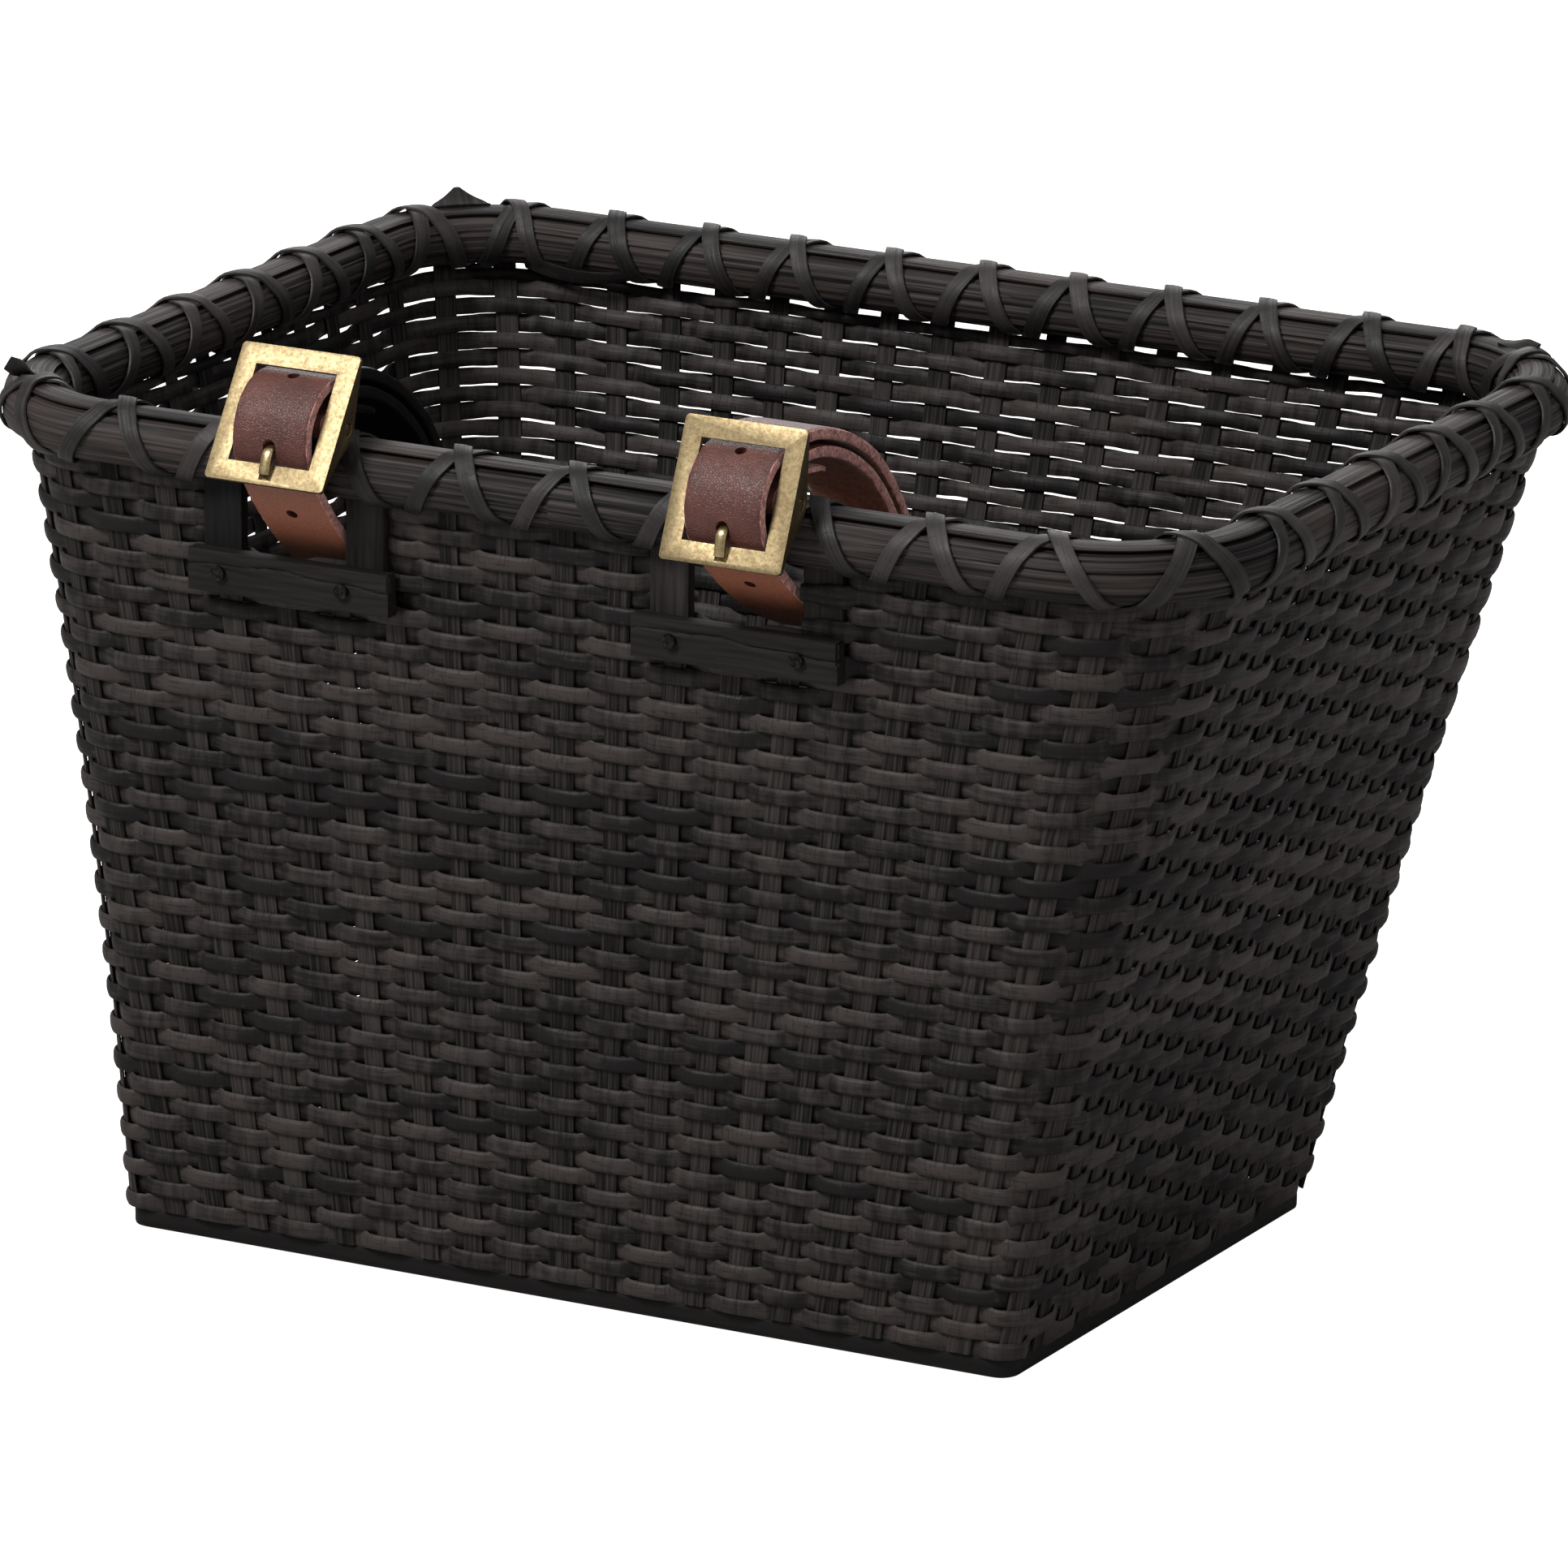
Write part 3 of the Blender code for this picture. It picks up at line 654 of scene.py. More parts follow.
def add_row(strips, row):
    """One row of weaving: a closed ring, or runs that end behind the posts."""
    z = BASE_THICK + (row + 0.5) * ROW_PITCH
    _, _, length = wall_at(np.zeros(1), z)
    closed = z < POST_BOTTOM - 1
    for first, last, lapped in [(0.0, length, False)] if closed else cut_runs(row, z, length):
        start, end = first / length, last / length
        count = max(6, int(round((end - start) * STAKES * STEPS)))
        shares = np.linspace(start, end, count, endpoint=not closed)
        points, _, up, out = wall_frames(shares, z)
        wave = weave_wave(shares * STAKES + row)
        offset = WEAVE_DEPTH * wave
        if not closed:
            ends = np.minimum(np.arange(count), np.arange(count)[::-1]) * (end - start) * length / count
            behind = smoothstep(1 - ends / TUCK_BEND)
            offset = offset * (1 - behind) - TUCK_DEPTH * behind
        if lapped:
            over = smoothstep((SLOTS["right"][1][1] + 4.5 - shares * length) / 5.0)
            offset = offset * (1 - over) + LAP_HEIGHT * over
        knots = int((end - start) * STAKES) + 2
        loose = openness(points)
        sway = (0.1 + 0.16 * loose) * slow_noise(count, knots, closed)
        swell = 1 + 0.07 * slow_noise(count, knots, closed)
        # A weaver is wider where it passes behind a stake, seen from outside on a tight wall and from
        # inside on a loose one, and most of all on the right side
        right = np.clip(1.5 * out[:, 0], 0, 1)
        hidden = smoothstep(0.57 + 0.45 * right - wave * (1 - 2 * loose))
        spread = 0.96 - 0.02 * loose + hidden * (0.31 + 0.36 * right - 0.21 * loose)
        widths = WEAVER_WIDTH * swell * spread
        thicks = WEAVER_THICK * (1 + 0.08 * slow_noise(count, knots, closed))
        if row == ROWS - 1:
            sway = sway - loose * (0.9 + 0.5 * slow_noise(count, knots, closed))
            widths = widths * (1 - 0.3 * loose)
        centres = points + out * (offset[:, None] + WEAVE_SHIFT) + up * sway[:, None]
        tone = 0.5 + 0.38 * slow_noise(count, max(3, knots // 2), closed) + RNG.uniform(-0.3, 0.3)
        strips.add(centres, up, out, sized(LENS, widths, thicks), tone=tone, closed=closed)


def make_weavers():
    bands = 4
    for band in range(bands):
        strips = Strips()
        for row in range(band * ROWS // bands, (band + 1) * ROWS // bands):
            add_row(strips, row)
        piece = strips.build(f"weavers_{band + 1}", WEAVER_CANE, "basket", 60)
        if band == 0:
            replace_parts(piece, "woven_wall")


# ---------------------------------------------------------------- rim

def ribbed_ring(name, profile, ribs, node):
    """A hoop with its own lengthwise ribs, which fade in and out round the basket."""
    count = 420
    points, tangent, _, _ = wall_frames(np.linspace(0, 1, count, endpoint=False), RIM_Z)
    up = np.tile(UP, (count, 1))
    shape = np.repeat(profile[None], count, axis=0)
    normals = np.roll(profile, -1, axis=0) - np.roll(profile, 1, axis=0)
    normals = unit(np.stack([normals[:, 1], -normals[:, 0]], axis=1)) * np.sign(turning(profile))
    for corner, normal in enumerate(normals):
        depth = RNG.uniform(0.0, ribs) * (1 + 0.6 * slow_noise(count, 24, True))
        shape[:, corner] -= normal * depth[:, None]
    strips = Strips()
    strips.add(points, up, unit(np.cross(tangent, up)), shape,
               tone=0.5 + 0.25 * slow_noise(count, 30, True), closed=True)
    piece = strips.build(name, HOOP_CANE, "basket", 70)
    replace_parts(piece, node)


def hoop_section(sign):
    """Half-round section of a hoop as (up, out) pairs."""
    foot, high = 2.1, HOOP_HALF_HEIGHT
    reach = HOOP_REACH - foot
    bulged = [(high * math.copysign(abs(math.sin(a)) ** 0.9, a), foot + reach * math.cos(a) ** 0.74)
              for a in np.radians(np.linspace(-90, 90, 41))]
    flat = [(high * s, foot) for s in (0.96, 0.5, 0.0, -0.5, -0.96)]
    return np.array(bulged + flat) * np.array([1.0, sign])


def reed_section():
    """Flat reed on top of the hoops as (up, out) pairs."""
    shape = ((0.0, -4.3), (0.0, -2.0), (0.0, 2.0), (0.0, 4.3), (0.6, 4.5), (1.1, 3.4),
             (1.3, 1.2), (1.3, -1.2), (1.1, -3.4), (0.6, -4.5))
    return np.array([(HOOP_HALF_HEIGHT + 0.25 + up, out) for up, out in shape])


def make_rim():
    ribbed_ring("outer_hoop", hoop_section(1), 0.42, "rim_outer_hoop")
    ribbed_ring("inner_hoop", hoop_section(-1), 0.42, "rim_inner_hoop")
    ribbed_ring("top_reed", reed_section(), 0.15, "rim_top_reed")


def bundle_point(angle, lift):
    """Taut line round the hoops and reed: (out, up) at an angle from straight up, towards the outside."""
    section = np.concatenate([hoop_section(1), hoop_section(-1), reed_section()])
    facing = np.radians(np.arange(0, 360, 2.0))
    reach = (section[:, :1] * np.cos(facing) + section[:, 1:] * np.sin(facing)).max(axis=0)
    turned = np.cos(angle[:, None] - facing)
    distance = np.where(turned > 0.05, (reach + lift[:, None]) / np.maximum(turned, 0.05), np.inf)
    return np.sin(angle) * distance.min(axis=1), np.cos(angle) * distance.min(axis=1)


def lashing_share(place):
    """Where round the rim a place counted in turns of the lashing lies."""
    shares = np.linspace(-0.1, 1.1, 600)
    turns = LASHINGS * shares - LASHING_CROWD / (2 * math.pi) * np.sin(2 * math.pi * shares)
    return np.interp(place, turns, shares)


def add_lashing(strips, index, hand, lift):
    """One turn of the lashing, from the crossing under the rim over its top and back."""
    count = 45
    turn = np.linspace(-math.pi, math.pi, count)
    middle = index + LASHING_START + 0.04 * RNG.uniform(-1, 1)
    points, tangent, _, out = wall_frames(lashing_share(middle + hand * turn / (2 * math.pi)), RIM_Z)
    wobble = 0.25 * slow_noise(count, 5)
    # Where two turns cross, on top of the rim and under it, one of them is lifted clear of the other
    bottom = smoothstep((np.abs(turn) - 2.2) / 0.9)
    lifted = (lift * smoothstep(1 - np.abs(turn) / 0.95) + LASHING_THICK / 2 + 0.1
              + 0.95 * (hand < 0) * bottom)
    reach, height = bundle_point(turn, lifted)
    centres = points + out * reach[:, None]
    centres[:, 2] = RIM_Z + height
    centres += tangent * wobble[:, None]
    ahead = unit(np.gradient(centres, axis=0))
    normal = out * np.sin(turn)[:, None] + UP * np.cos(turn)[:, None]
    across = unit(np.cross(normal, ahead))
    normal = unit(np.cross(ahead, across))
    widths = LASHING_WIDTH * (1 + 0.08 * slow_noise(count, 5)) * RNG.uniform(0.92, 1.08)
    strips.add(centres, across, normal, sized(BAND, widths, LASHING_THICK),
               tone=np.clip(0.5 + RNG.uniform(-0.35, 0.35) + 0.2 * slow_noise(count, 4), 0, 1))


def make_lashing():
    for name, hand, lift in (("lashing_under", -1, 0.0), ("lashing_over", 1, 0.88)):
        strips = Strips()
        for index in range(LASHINGS):
            add_lashing(strips, index, hand, lift)
        strips.build(name, LASHING_CANE, "basket", 38)


def corner_share(facing):
    """Where round the basket its outward normal points this way, in degrees from +X."""
    shares = np.linspace(0, 1, 2000, endpoint=False)
    _, normals, _ = wall_at(shares, RIM_Z)
    angle = math.radians(facing)
    return shares[np.argmax(normals @ np.array([math.cos(angle), math.sin(angle), 0.0]))]


def add_tip(strips, facing, widths, rise, reach, sweep=0.0, stand=0.0):
    """The loose end of a lashing strip at a corner. It leaves the top of the rim and goes this many mm out
    (reach), up (rise) and along the rim (sweep), twisting up on its edge by some degrees (stand)."""
    t = np.linspace(0, 1, 14)
    _, _, length = wall_at(np.zeros(1), RIM_Z)
    points, tangent, _, out = wall_frames(corner_share(facing) + sweep * t / length, RIM_Z)
    level = np.array([1.0, 1.0, 0.0])
    along, flat = unit(tangent * level), unit(out * level)
    centres = points + flat * (reach * t)[:, None]
    centres[:, 2] = RIM_Z + HOOP_HALF_HEIGHT + 1.9 + rise * t ** 1.6
    ahead = unit(np.gradient(centres, axis=0))
    lying = flat if abs(sweep) > reach else along
    normal = unit(np.cross(ahead, lying))
    lying = np.cross(normal, ahead)
    twist = np.radians(stand) * smoothstep(t * 1.3)
    across = lying * np.cos(twist)[:, None] + normal * np.sin(twist)[:, None]
    widths = np.interp(t, np.linspace(0, 1, len(widths)), widths)
    strips.add(centres, across, np.cross(ahead, across), sized(BAND, widths, LASHING_THICK), tone=0.3)


def make_loose_ends():
    """Ends of the lashing strips at three corners, and one left hanging inside, under the back rim."""
    strips = Strips()
    add_tip(strips, 215, (4.6, 4.8, 4.8, 3.8), rise=2.6, reach=7.0, stand=82.0)
    add_tip(strips, 135, (17.0, 14.0, 7.5, 1.6), rise=4.2, reach=3.6)
    add_tip(strips, 62, (4.3, 4.4, 4.4, 3.4), rise=0.9, reach=2.5, sweep=-13.0, stand=60.0)
    t = np.linspace(0, 1, 24)
    back = RIM_FRONT + RIM_DEPTH
    centres = np.stack([-139.0 + 33.0 * t, back - 5.0 - 3.5 * np.sin(3.0 * t),
                        RIM_Z - 5.0 - 3.2 * np.sin(2.2 * t) + 2.4 * t], axis=1)
    ahead = unit(np.gradient(centres, axis=0))
    normal = unit(np.cross(ahead, [0.0, -0.35, 0.94]))
    strips.add(centres, np.cross(normal, ahead), normal, sized(BAND, 5.2 * (1 - 0.5 * t), 1.0), tone=0.3)
    strips.build("loose_ends", LASHING_CANE, "basket", 60)


# ---------------------------------------------------------------- posts, slats and nails

def worn_box(name, node, material, cells, rough, grain, cracked=False):
    """A split wood bar: a fine box whose faces are pushed in along its grain, with a crack if wanted."""
    low, high = span(node)
    size, middle = high - low, (low + high) / 2
    bm = bmesh.new()
    bmesh.ops.create_cube(bm, size=1.0)
    for vert in bm.verts:
        vert.co = Vector(low + (np.array(vert.co) + 0.5) * size)
    for axis, cuts in enumerate(cells):
        along = [edge for edge in bm.edges
                 if abs((edge.verts[0].co - edge.verts[1].co).normalized()[axis]) > 0.99]
        bmesh.ops.subdivide_edges(bm, edges=along, cuts=cuts, use_grid_fill=True)
    bm.normal_update()
    phases = RNG.uniform(0, 50, 6)
    across = [axis for axis in range(3) if axis != grain]
    for vert in bm.verts:
        c = np.array(vert.co)
        ripple = sum(math.sin(c[i] * 3.1 + phases[i] + 1.3 * math.sin(c[grain] * 0.21 + phases[i + 3]))
                     for i in across) * 0.5
        faces = sum(abs(c[i] - middle[i]) > size[i] / 2 - 0.01 for i in range(3))
        pull = rough * 1.2 if faces > 1 else rough * (0.5 + 0.5 * ripple)
        if cracked and faces == 1 and c[1] < middle[1]:
            line = middle[2] + 1.6 + 0.8 * math.sin(c[0] * 0.09 + phases[0]) + 0.3 * math.sin(c[0] * 0.31)
            pull += 0.55 * max(0.0, 1 - abs(c[2] - line) / 0.45)
        if cracked and faces > 1 and c[2] > middle[2]:
            pull += 0.9 * max(0.0, (c[0] - high[0] + 3.5) / 3.5) * (0.6 + 0.4 * math.sin(c[0] * 5.1))
        vert.co -= Vector(vert.normal) * pull
    piece = finish_piece(name, mesh_from(bm, name, material), "basket", 40)
    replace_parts(piece, node)


def make_posts():
    for side in SIDES:
        for label in "ab":
            node = f"post_{side}_{label}"
            # post_left_a gets the near-black copy of the wood, as painted shade
            wood = SHADED_POST_WOOD if node == "post_left_a" else POST_WOOD
            worn_box(f"slot_{node}", node, wood, cells=(21, 3, 24), rough=0.3, grain=2)


def make_slats():
    for side in SIDES:
        node = f"slat_{side}"
        worn_box(f"nailed_{node}", node, SLAT_WOOD, cells=(80, 4, 26), rough=0.25, grain=0, cracked=True)


# ---------------------------------------------------------------- straps

def smooth_line(points, steps):
    """Catmull-Rom curve through the points."""
    points = [Vector(p) for p in points]
    ends = [2 * points[0] - points[1]] + points + [2 * points[-1] - points[-2]]
    line = []
    for a, b, c, d in zip(ends, ends[1:], ends[2:], ends[3:]):
        for step in range(steps):
            t = step / steps
            line.append(0.5 * (2 * b + (c - a) * t + (2 * a - 5 * b + 4 * c - d) * t * t
                               + (3 * b - a - 3 * c + d) * t * t * t))
    line.append(points[-1])
    return line


def frame_point(s, h):
    """A point s up the buckle frame and h in front of its face, seen from the rim's centre."""
    tilt = math.radians(FRAME_TILT)
    up = Vector((math.sin(tilt), math.cos(tilt)))
    out = Vector((-math.cos(tilt), math.sin(tilt)))
    return Vector(FRAME_FOOT) + up * s + out * h


def bulge_line():
    """The strap where it swells out through the frame's window, from the top bar down."""
    radius = BULGE_RADIUS - STRAP_THICK / 2
    s, h = BULGE_CENTRE
    angles = [math.radians(BULGE_HALF_ANGLE * (1 - step / 12)) for step in range(25)]
    return [frame_point(s + radius * math.sin(a), h + radius * math.cos(a)) for a in angles]


def fold_line():
    """The strap's fixed end where it folds round the centre bar."""
    radius = BAR_HOLE + FOLD_THICK / 2
    angles = np.radians(np.linspace(116, 307, 16))
    return [frame_point(*BAR_POS) + radius * Vector((math.cos(a), math.sin(a))) for a in angles]


def strap_stations():
    """The whole strap as (point, thickness, tone), from the free tip to the turned-back end."""
    bulge, fold = bulge_line(), fold_line()
    first = smooth_line(FREE_END + bulge[:1], 6)[:-1]
    under = smooth_line(bulge[-1:] + UNDER_LOOP + fold[:1], 6)[1:-1]
    line = first + bulge + under + fold + smooth_line(fold[-1:] + TURNBACK, 4)[1:]
    tail = len(first) + len(bulge)
    skive = 10  # stations over which the leather is thinned before the fold
    start = tail + len(under) - skive
    thick = np.full(len(line), STRAP_THICK)
    thick[start:start + skive] = np.linspace(STRAP_THICK, FOLD_THICK, skive)
    thick[start + skive:] = FOLD_THICK
    station = np.arange(len(line))
    # The stretch below and behind the buckle gets the tail colour: partly the leather's own lighter tan,
    # partly painted light lifting the buckle's shade
    tone = 0.85 * smoothstep((station - tail + 4) / 14) * smoothstep((tail + 70 - station) / 40)
    return np.array([tuple(p) for p in line]), thick, tone


def placer(side):
    """Places a point of the plane across the rim, x to the right of the strap's middle, in the basket. The
    whole strap leans inwards round the rim."""
    low, high = span(f"strap_{side}")
    middle = (low[0] + high[0]) / 2
    turn = math.radians(LEAN[side])

    def place(x, point):
        y = point[0] * math.cos(turn) + point[1] * math.sin(turn)
        z = point[1] * math.cos(turn) - point[0] * math.sin(turn)
        return Vector((middle + x, RIM_FRONT + y, STRAP_TURN_Z + z))

    return place


def strap_section(width, thick):
    """Strap section: fine columns across both faces, rounded corners, and cut edges that stand out a bit."""
    columns = np.linspace(-0.5, 0.5, STRAP_COLUMNS)
    half = thick / 2
    corner = 1 - np.clip((np.abs(columns) - 0.46) / 0.04, 0, 1) ** 2 * 0.55 / max(thick, 1.0)
    top = [(width * c, half * k) for c, k in zip(columns, corner)]
    edge = [(width / 2 + 0.16, half * s) for s in EDGE_STEPS]
    bottom = [(width * c, -half * k) for c, k in zip(columns[::-1], corner)]
    other = [(-width / 2 - 0.16, half * s) for s in EDGE_STEPS[::-1]]
    return np.array(top + edge + bottom + other)


def make_strap(side, place):
    points, thick, tone = strap_stations()
    centres = np.array([place(0, p) for p in points])
    across = np.tile([1.0, 0.0, 0.0], (len(points), 1))
    out = unit(np.cross(np.gradient(centres, axis=0), across))
    profile = np.stack([strap_section(STRAP_WIDTH - 0.5, t) for t in thick])
    rough_edges = np.abs(profile[..., 0]) > STRAP_WIDTH / 2 - 0.4
    profile[..., 0] += np.where(rough_edges, RNG.uniform(-0.14, 0.1, rough_edges.shape), 0.0)
    strips = Strips()
    strips.add(centres, across, out, profile, tone=tone)
    piece = strips.build(f"leather_strap_{side}", LEATHER, f"{side}_strap", 45)
    dress_strap(piece, points, side)
    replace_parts(piece, f"strap_{side}")
    return piece


def dress_strap(piece, points, side):
    """Cut edges and the flesh side get raw leather. The left strap is painted near-black inside the basket,
    as painted shade.
    """
    mesh = piece.data
    for material in (RAW_EDGE, FLESH_SIDE, SHADED_LEATHER, SHADED_FIBRE):
        mesh.materials.append(material)
    grain, edge, flesh, shaded_leather, shaded_fibre = range(5)
    corners = 2 * (STRAP_COLUMNS + len(EDGE_STEPS))
    column = np.tile(np.arange(corners), len(points) - 1)
    under = column - STRAP_COLUMNS - len(EDGE_STEPS)
    looks = np.select([column < STRAP_COLUMNS - 1, (under >= 0) & (under < STRAP_COLUMNS - 1)],
                      [grain, flesh], edge)
    # Painted shade: the left strap is painted near-black inside the basket, where its brown leather lies in
    # shade
    if side == "left":
        place = np.arange(corners)
        ragged = -0.5 + 1.6 * np.sin(1.9 * place) + 1.2 * np.sin(0.7 * place)
        x, z = points[:-1, :1], points[:-1, 1:]
        painted_shade = (((x > ragged) & (z > -14.0)) | (x > 20.0)).ravel()
        looks = np.where(painted_shade, np.where(looks == grain, shaded_leather, shaded_fibre), looks)
    # The left strap's end faces get the same painted shade
    index = np.full(len(mesh.polygons), shaded_fibre if side == "left" else edge)
    index[:len(column)] = looks
    mesh.polygons.foreach_set("material_index", index.astype(np.int32))


def rod(start, end, radius, segments=28):
    bm = bmesh.new()
    start, end = Vector(start), Vector(end)
    bmesh.ops.create_cone(bm, cap_ends=True, segments=segments, radius1=radius, radius2=radius,
                          depth=(end - start).length)
    turn = (end - start).to_track_quat("Z", "Y").to_matrix()
    for vert in bm.verts:
        vert.co = turn @ vert.co + (start + end) / 2
    return bm


def flat_rod(place, start, end, radius):
    """A rod in the middle plane of the strap."""
    return rod(place(0, start), place(0, end), radius)


def bar_rod(place, half, radius):
    """A rod on the axis of the centre bar, this far to either side."""
    bar = frame_point(*BAR_POS)
    return rod(place(-half, bar), place(half, bar), radius)


def prism(place, outline, low, high):
    """An outline in the plane across the rim, given as points on the frame, from low to high along X."""
    bm = bmesh.new()
    face = bm.faces.new([bm.verts.new(place(low, frame_point(s, h))) for s, h in outline])
    made = bmesh.ops.extrude_face_region(bm, geom=[face])["geom"]
    moved = [item for item in made if isinstance(item, bmesh.types.BMVert)]
    bmesh.ops.translate(bm, verts=moved, vec=(high - low, 0.0, 0.0))
    return bm


def apply_booleans(piece, cuts, operation="DIFFERENCE"):
    """Cuts or joins with exact Booleans, then keeps only the result."""
    cutters = []
    for bm in cuts:
        bm.normal_update()
        cutters.append(link_object("cutter", mesh_from(bm, "cutter")))
        modifier = piece.modifiers.new("cut", "BOOLEAN")
        modifier.operation = operation
        modifier.solver = "EXACT"
        modifier.object = cutters[-1]
    bake_modifiers(piece)
    for cutter in cutters:
        bpy.data.objects.remove(cutter)


def bake_modifiers(piece):
    bpy.context.view_layer.update()
    graph = bpy.context.evaluated_depsgraph_get()
    mesh = bpy.data.meshes.new_from_object(piece.evaluated_get(graph))
    piece.modifiers.clear()
    piece.data = mesh


def punch_strap(piece, place):
    """The adjustment holes, the slot in the fold that the prong passes through, and room for its eye."""
    s, h = BULGE_CENTRE
    angle = math.radians(46.0)
    aim = frame_point(s + 22 * math.sin(angle), h + 22 * math.cos(angle))
    cuts = [flat_rod(place, frame_point(s, h), aim, HOLE_RADIUS),
            flat_rod(place, (0.5, -8.0), (-9.0, -17.0), HOLE_RADIUS)]
    cuts += [flat_rod(place, frame_point(up, -5.0), frame_point(up, 5.0), 1.8) for up in (8.3, 8.9)]
    cuts.append(bar_rod(place, PRONG_WIDTH / 2 + 0.6, 3.7))
    apply_booleans(piece, cuts)


# ---------------------------------------------------------------- buckles

def slab(low, high, front, back):
    """Outline of a plate that lies along the frame."""
    return (low, back), (high, back), (high, front), (low, front)


def new_metal(name, bm, body, node):
    bm.normal_update()
    mesh = mesh_from(bm, name, BRASS, BRASS_RUB_AND_HIGHLIGHT)
    piece = finish_piece(name, mesh, body, 30)
    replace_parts(piece, node)
    return piece


def soften(piece, width, segments=3):
    """Rounds the edges and gives the rounded strips the brighter brass: partly rubbed metal, partly painted
    highlight.
    """
    modifier = piece.modifiers.new("soften", "BEVEL")
    modifier.width = width * MM
    modifier.segments = segments
    modifier.limit_method = "ANGLE"
    modifier.angle_limit = math.radians(35)
    modifier.material = 1
    bake_modifiers(piece)
    shade(piece.data, 40)


def make_frame(side, place):
    """The frame: a plate with a window, a notch for the prong and two cheeks that hold the centre bar."""
    half = FRAME_WIDTH / 2
    inside = half - BAR_FACE
    plate = prism(place, slab(0, FRAME_HEIGHT, 0, -FRAME_THICK), -half, half)
    frame_piece = new_metal(f"brass_frame_{side}", plate, f"{side}_buckle", f"buckle_frame_{side}")
    round_corners(frame_piece)
    window = prism(place, slab(BAR_FACE, FRAME_HEIGHT - BAR_FACE, 5, -5), -inside, inside)
    notch = flat_rod(place, frame_point(1.2, 1.5), frame_point(8.0, 1.5), 2.3)
    apply_booleans(frame_piece, [window, notch])
    cheeks = [prism(place, CHEEK, low, low + FRAME_THICK) for low in (-half, half - FRAME_THICK)]
    apply_booleans(frame_piece, cheeks, "UNION")
    apply_booleans(frame_piece, [bar_rod(place, 25, BAR_HOLE)])
    soften(frame_piece, 0.3)


def round_corners(piece):
    """Rounds the four outer corners of the frame's plate, seen from the front."""
    bm = bmesh.new()
    bm.from_mesh(piece.data)
    short = sorted(bm.edges, key=lambda e: (e.verts[0].co - e.verts[1].co).length)[:4]
    bmesh.ops.bevel(bm, geom=short, offset=1.1 * MM, segments=4, affect="EDGES", profile=0.5)
    bm.to_mesh(piece.data)
    bm.free()


def make_bar(side, place):
    bm = bar_rod(place, FRAME_WIDTH / 2 - 0.3, BAR_RADIUS)
    soften(new_metal(f"brass_bar_{side}", bm, f"{side}_buckle", f"buckle_bar_{side}"), 0.3)


def make_prong(side, place):
    """Tongue of the buckle: an eye on the centre bar and a faceted shank that ends on the lower bar."""
    half = PRONG_WIDTH / 2
    wide = half - 0.1
    section = ((-wide, -0.45), (-wide, 0.25), (-0.6 * wide, 0.8), (0.6 * wide, 0.8),
               (wide, 0.25), (wide, -0.45), (0.6 * wide, -0.8), (-0.6 * wide, -0.8))
    line = smooth_line([frame_point(s, h) for s, h in PRONG_LINE], 3)
    bm = bmesh.new()
    rings = []
    for i, point in enumerate(line):
        along = line[min(i + 1, len(line) - 1)] - line[max(i - 1, 0)]
        across = Vector((-along.y, along.x)).normalized()
        rings.append([bm.verts.new(place(x, point + across * h)) for x, h in section])
    skin_rings(bm, rings)
    piece = new_metal(f"brass_prong_{side}", bm, f"{side}_prong", f"prong_{side}")
    apply_booleans(piece, [bar_rod(place, half, 2.7)], "UNION")
    apply_booleans(piece, [bar_rod(place, 5, BAR_HOLE)])
    soften(piece, 0.18, 2)
    # The whole prong gets the brighter brass, as a painted highlight
    piece.data.polygons.foreach_set("material_index", [1] * len(piece.data.polygons))


def make_straps():
    """Both straps, each with its buckle's frame, centre bar and prong."""
    for side in SIDES:
        place = placer(side)
        punch_strap(make_strap(side, place), place)
        make_frame(side, place)
        make_bar(side, place)
        make_prong(side, place)


# ---------------------------------------------------------------- base and nails

def make_base():
    """The board that the stakes rise from, with worn edges."""
    rows = outline_points(BASE_THICK)[:-1]
    edge = ((0.0, 0.7), (0.25, 0.2), (0.8, 0.0), (2.0, 0.0), (3.2, 0.0), (4.3, 0.0), (4.8, 0.2),
            (BASE_THICK, 0.7))
    bm = bmesh.new()
    rings = []
    for z, inset in edge:
        worn = inset + 0.12 * np.abs(slow_noise(len(rows), len(rows) // 2, True))
        rings.append([bm.verts.new((x - nx * w, y - ny * w, z)) for (x, y, nx, ny), w in zip(rows, worn)])
    skin_rings(bm, rings)
    mesh = mesh_from(bm, "base_panel", BASE_WOOD)
    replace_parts(finish_piece("base_panel", mesh, "basket", 40), "base_board")


def make_nail(name, node):
    """A nail whose flat head is cut with a crosshatch."""
    low, high = span(node)
    x, z, face = (low[0] + high[0]) / 2, (low[2] + high[2]) / 2, low[1]
    head = rod((x, face, z), (x, face + 0.8, z), (high[0] - low[0]) / 2, 32)
    piece = finish_piece(name, mesh_from(head, name, NAIL_STEEL), "basket", 30)
    apply_booleans(piece, [rod((x, face + 0.5, z), (x, high[1], z), 0.8, 20)], "UNION")
    cuts = []
    for turn in (35, 125):
        c, s = math.cos(math.radians(turn)), math.sin(math.radians(turn))
        for step in (-1.05, -0.35, 0.35, 1.05):
            centre = Vector((x - s * step, face, z + c * step))
            reach = Vector((c, 0.0, s)) * 3
            cuts.append(rod(centre - reach, centre + reach, 0.17, 6))
    apply_booleans(piece, cuts)
    shade(piece.data, 30)
    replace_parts(piece, node)


def make_nails():
    for side in SIDES:
        for label in "ab":
            make_nail(f"hatched_nail_{side}_{label}", f"nail_{side}_{label}")


# ---------------------------------------------------------------- stage, light and camera

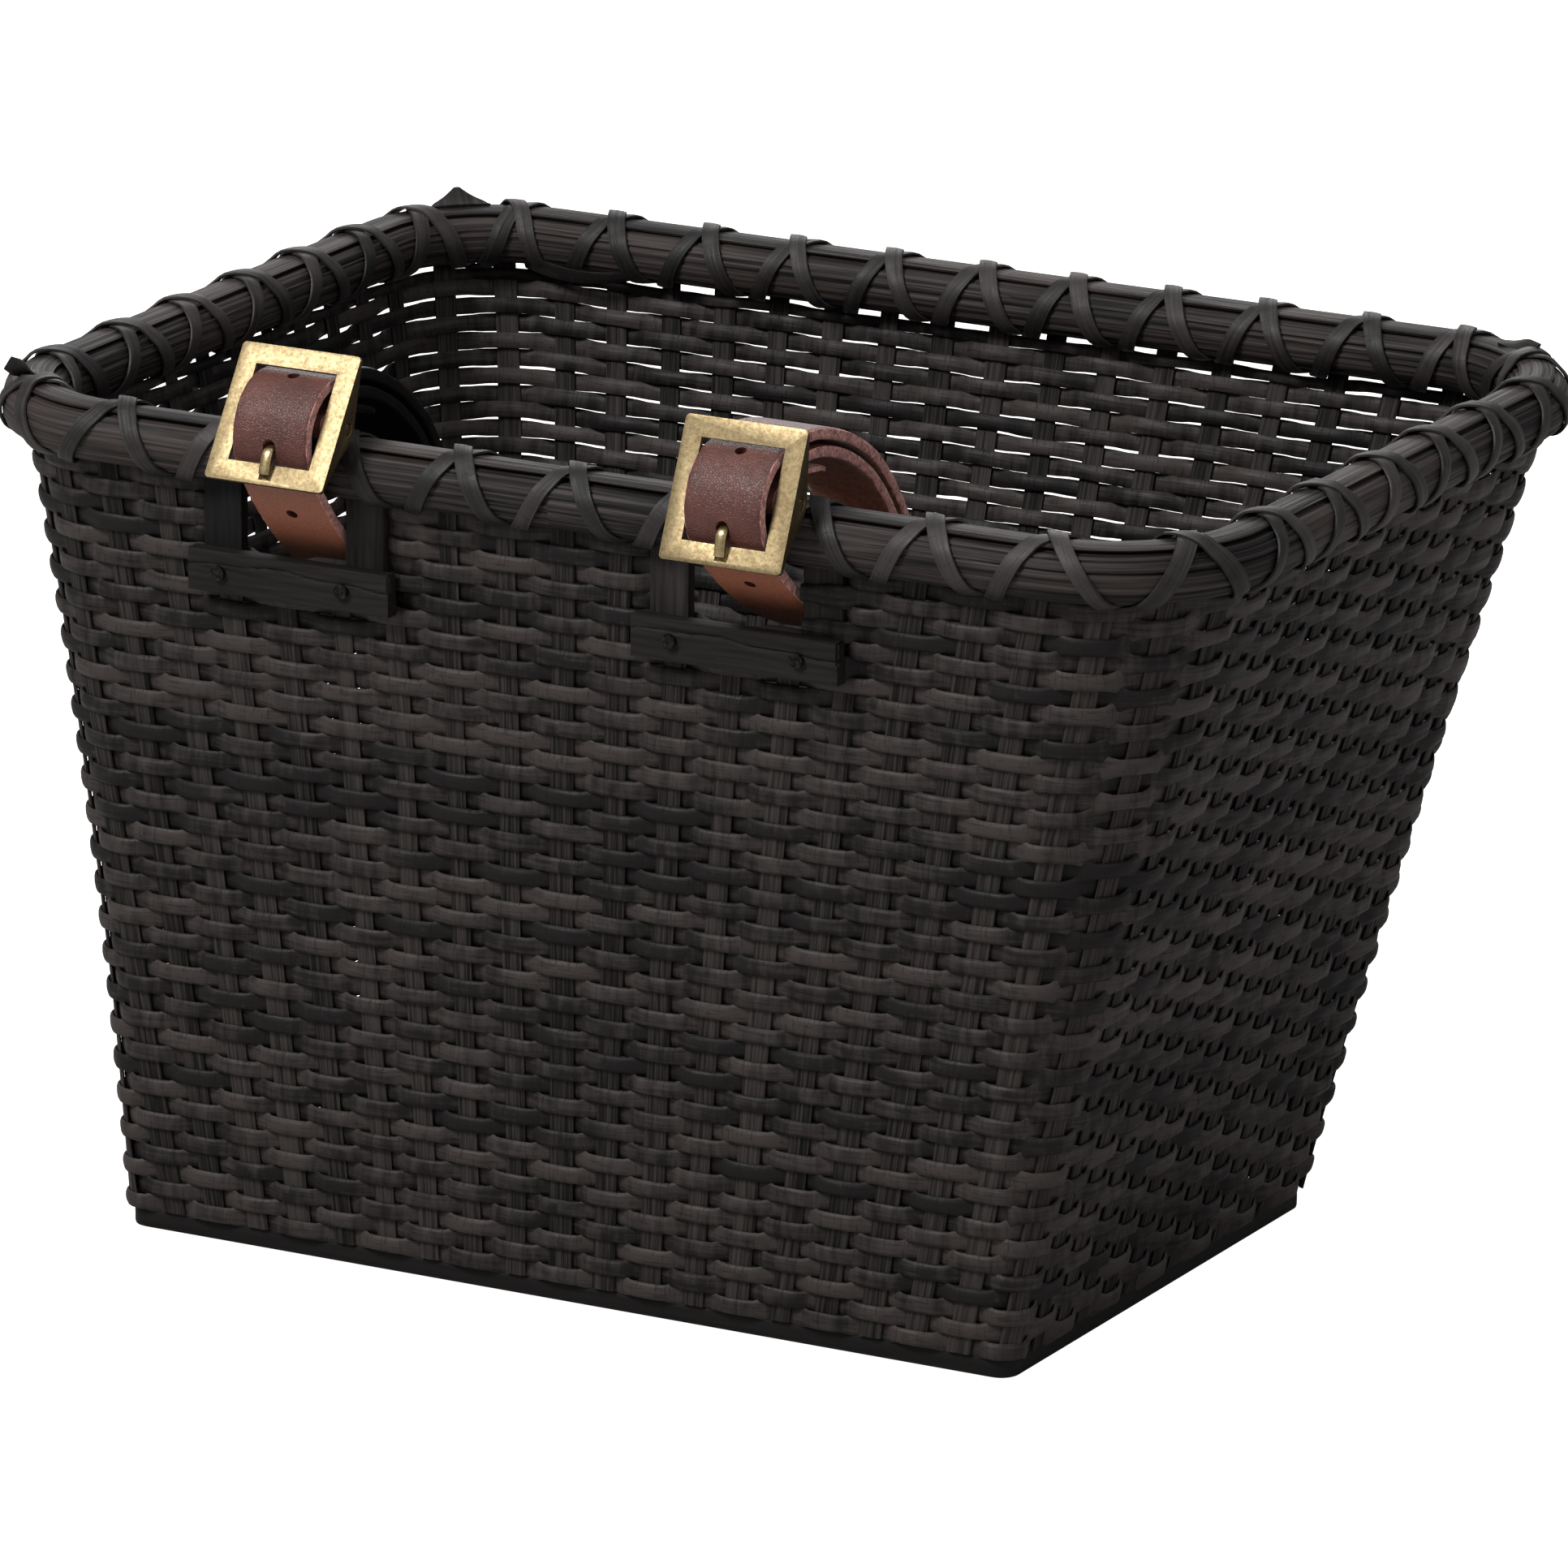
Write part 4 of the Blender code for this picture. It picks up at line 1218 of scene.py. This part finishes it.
def make_stage():
    """A pale floor just under the object, which the camera sees as plain light."""
    size, drop = 4.0, -0.0003
    mesh = bpy.data.meshes.new("floor")
    mesh.from_pydata([(-size, -size, drop), (size, -size, drop), (size, size, drop), (-size, size, drop)],
                     [], [(0, 1, 2, 3)])
    floor = link_object("floor", mesh)
    material, tree, shader = node_tree("pale_floor")
    seen = add_node(tree, "ShaderNodeLightPath").outputs["Is Camera Ray"]
    feed(tree, shader, Base_Color=(0.5, 0.49, 0.485), Roughness=0.9, Specular_IOR_Level=0.0,
         Emission_Color=(0.99, 0.975, 0.955), Emission_Strength=seen)
    mesh.materials.append(material)


def add_light(name, place, size, energy):
    data = bpy.data.lights.new(name, "AREA")
    data.shape = "DISK"
    data.size = size
    data.energy = energy
    light = link_object(name, data)
    light.location = place
    light.rotation_euler = (Vector(LIGHT_AIM) - Vector(place)).to_track_quat("-Z", "Y").to_euler()


def make_lights():
    world = bpy.data.worlds.new("studio")
    bpy.context.scene.world = world
    world.use_nodes = True
    tree = world.node_tree
    feed(tree, tree.nodes["Background"], Color=(1.0, 0.992, 0.988), Strength=0.37)
    for name, (place, size, energy) in LIGHTS.items():
        add_light(name, place, size, energy)


def make_camera():
    azimuth, elevation, roll = (math.radians(v) for v in CAMERA_ANGLES)
    back = Vector((math.sin(azimuth) * math.cos(elevation), -math.cos(azimuth) * math.cos(elevation),
                   math.sin(elevation)))
    level = Vector((math.cos(azimuth), math.sin(azimuth), 0.0))
    above = back.cross(level)
    right = level * math.cos(roll) + above * math.sin(roll)
    up = above * math.cos(roll) - level * math.sin(roll)
    turn = Matrix((right, up, back)).transposed().to_4x4()
    turn.translation = (Vector(CAMERA_TARGET) + back * CAMERA_DISTANCE) * MM
    data = bpy.data.cameras.new("camera")
    data.lens = CAMERA_LENS
    data.shift_x, data.shift_y = CAMERA_SHIFT
    data.clip_start = 0.1
    data.clip_end = 50.0
    camera = link_object("camera", data)
    camera.matrix_world = turn
    bpy.context.scene.camera = camera


bpy.context.scene.view_settings.view_transform = "Standard"
make_camera()
make_stage()
make_lights()
make_stakes()
make_weavers()
make_rim()
make_lashing()
make_loose_ends()
make_posts()
make_slats()
make_straps()
make_base()
make_nails()
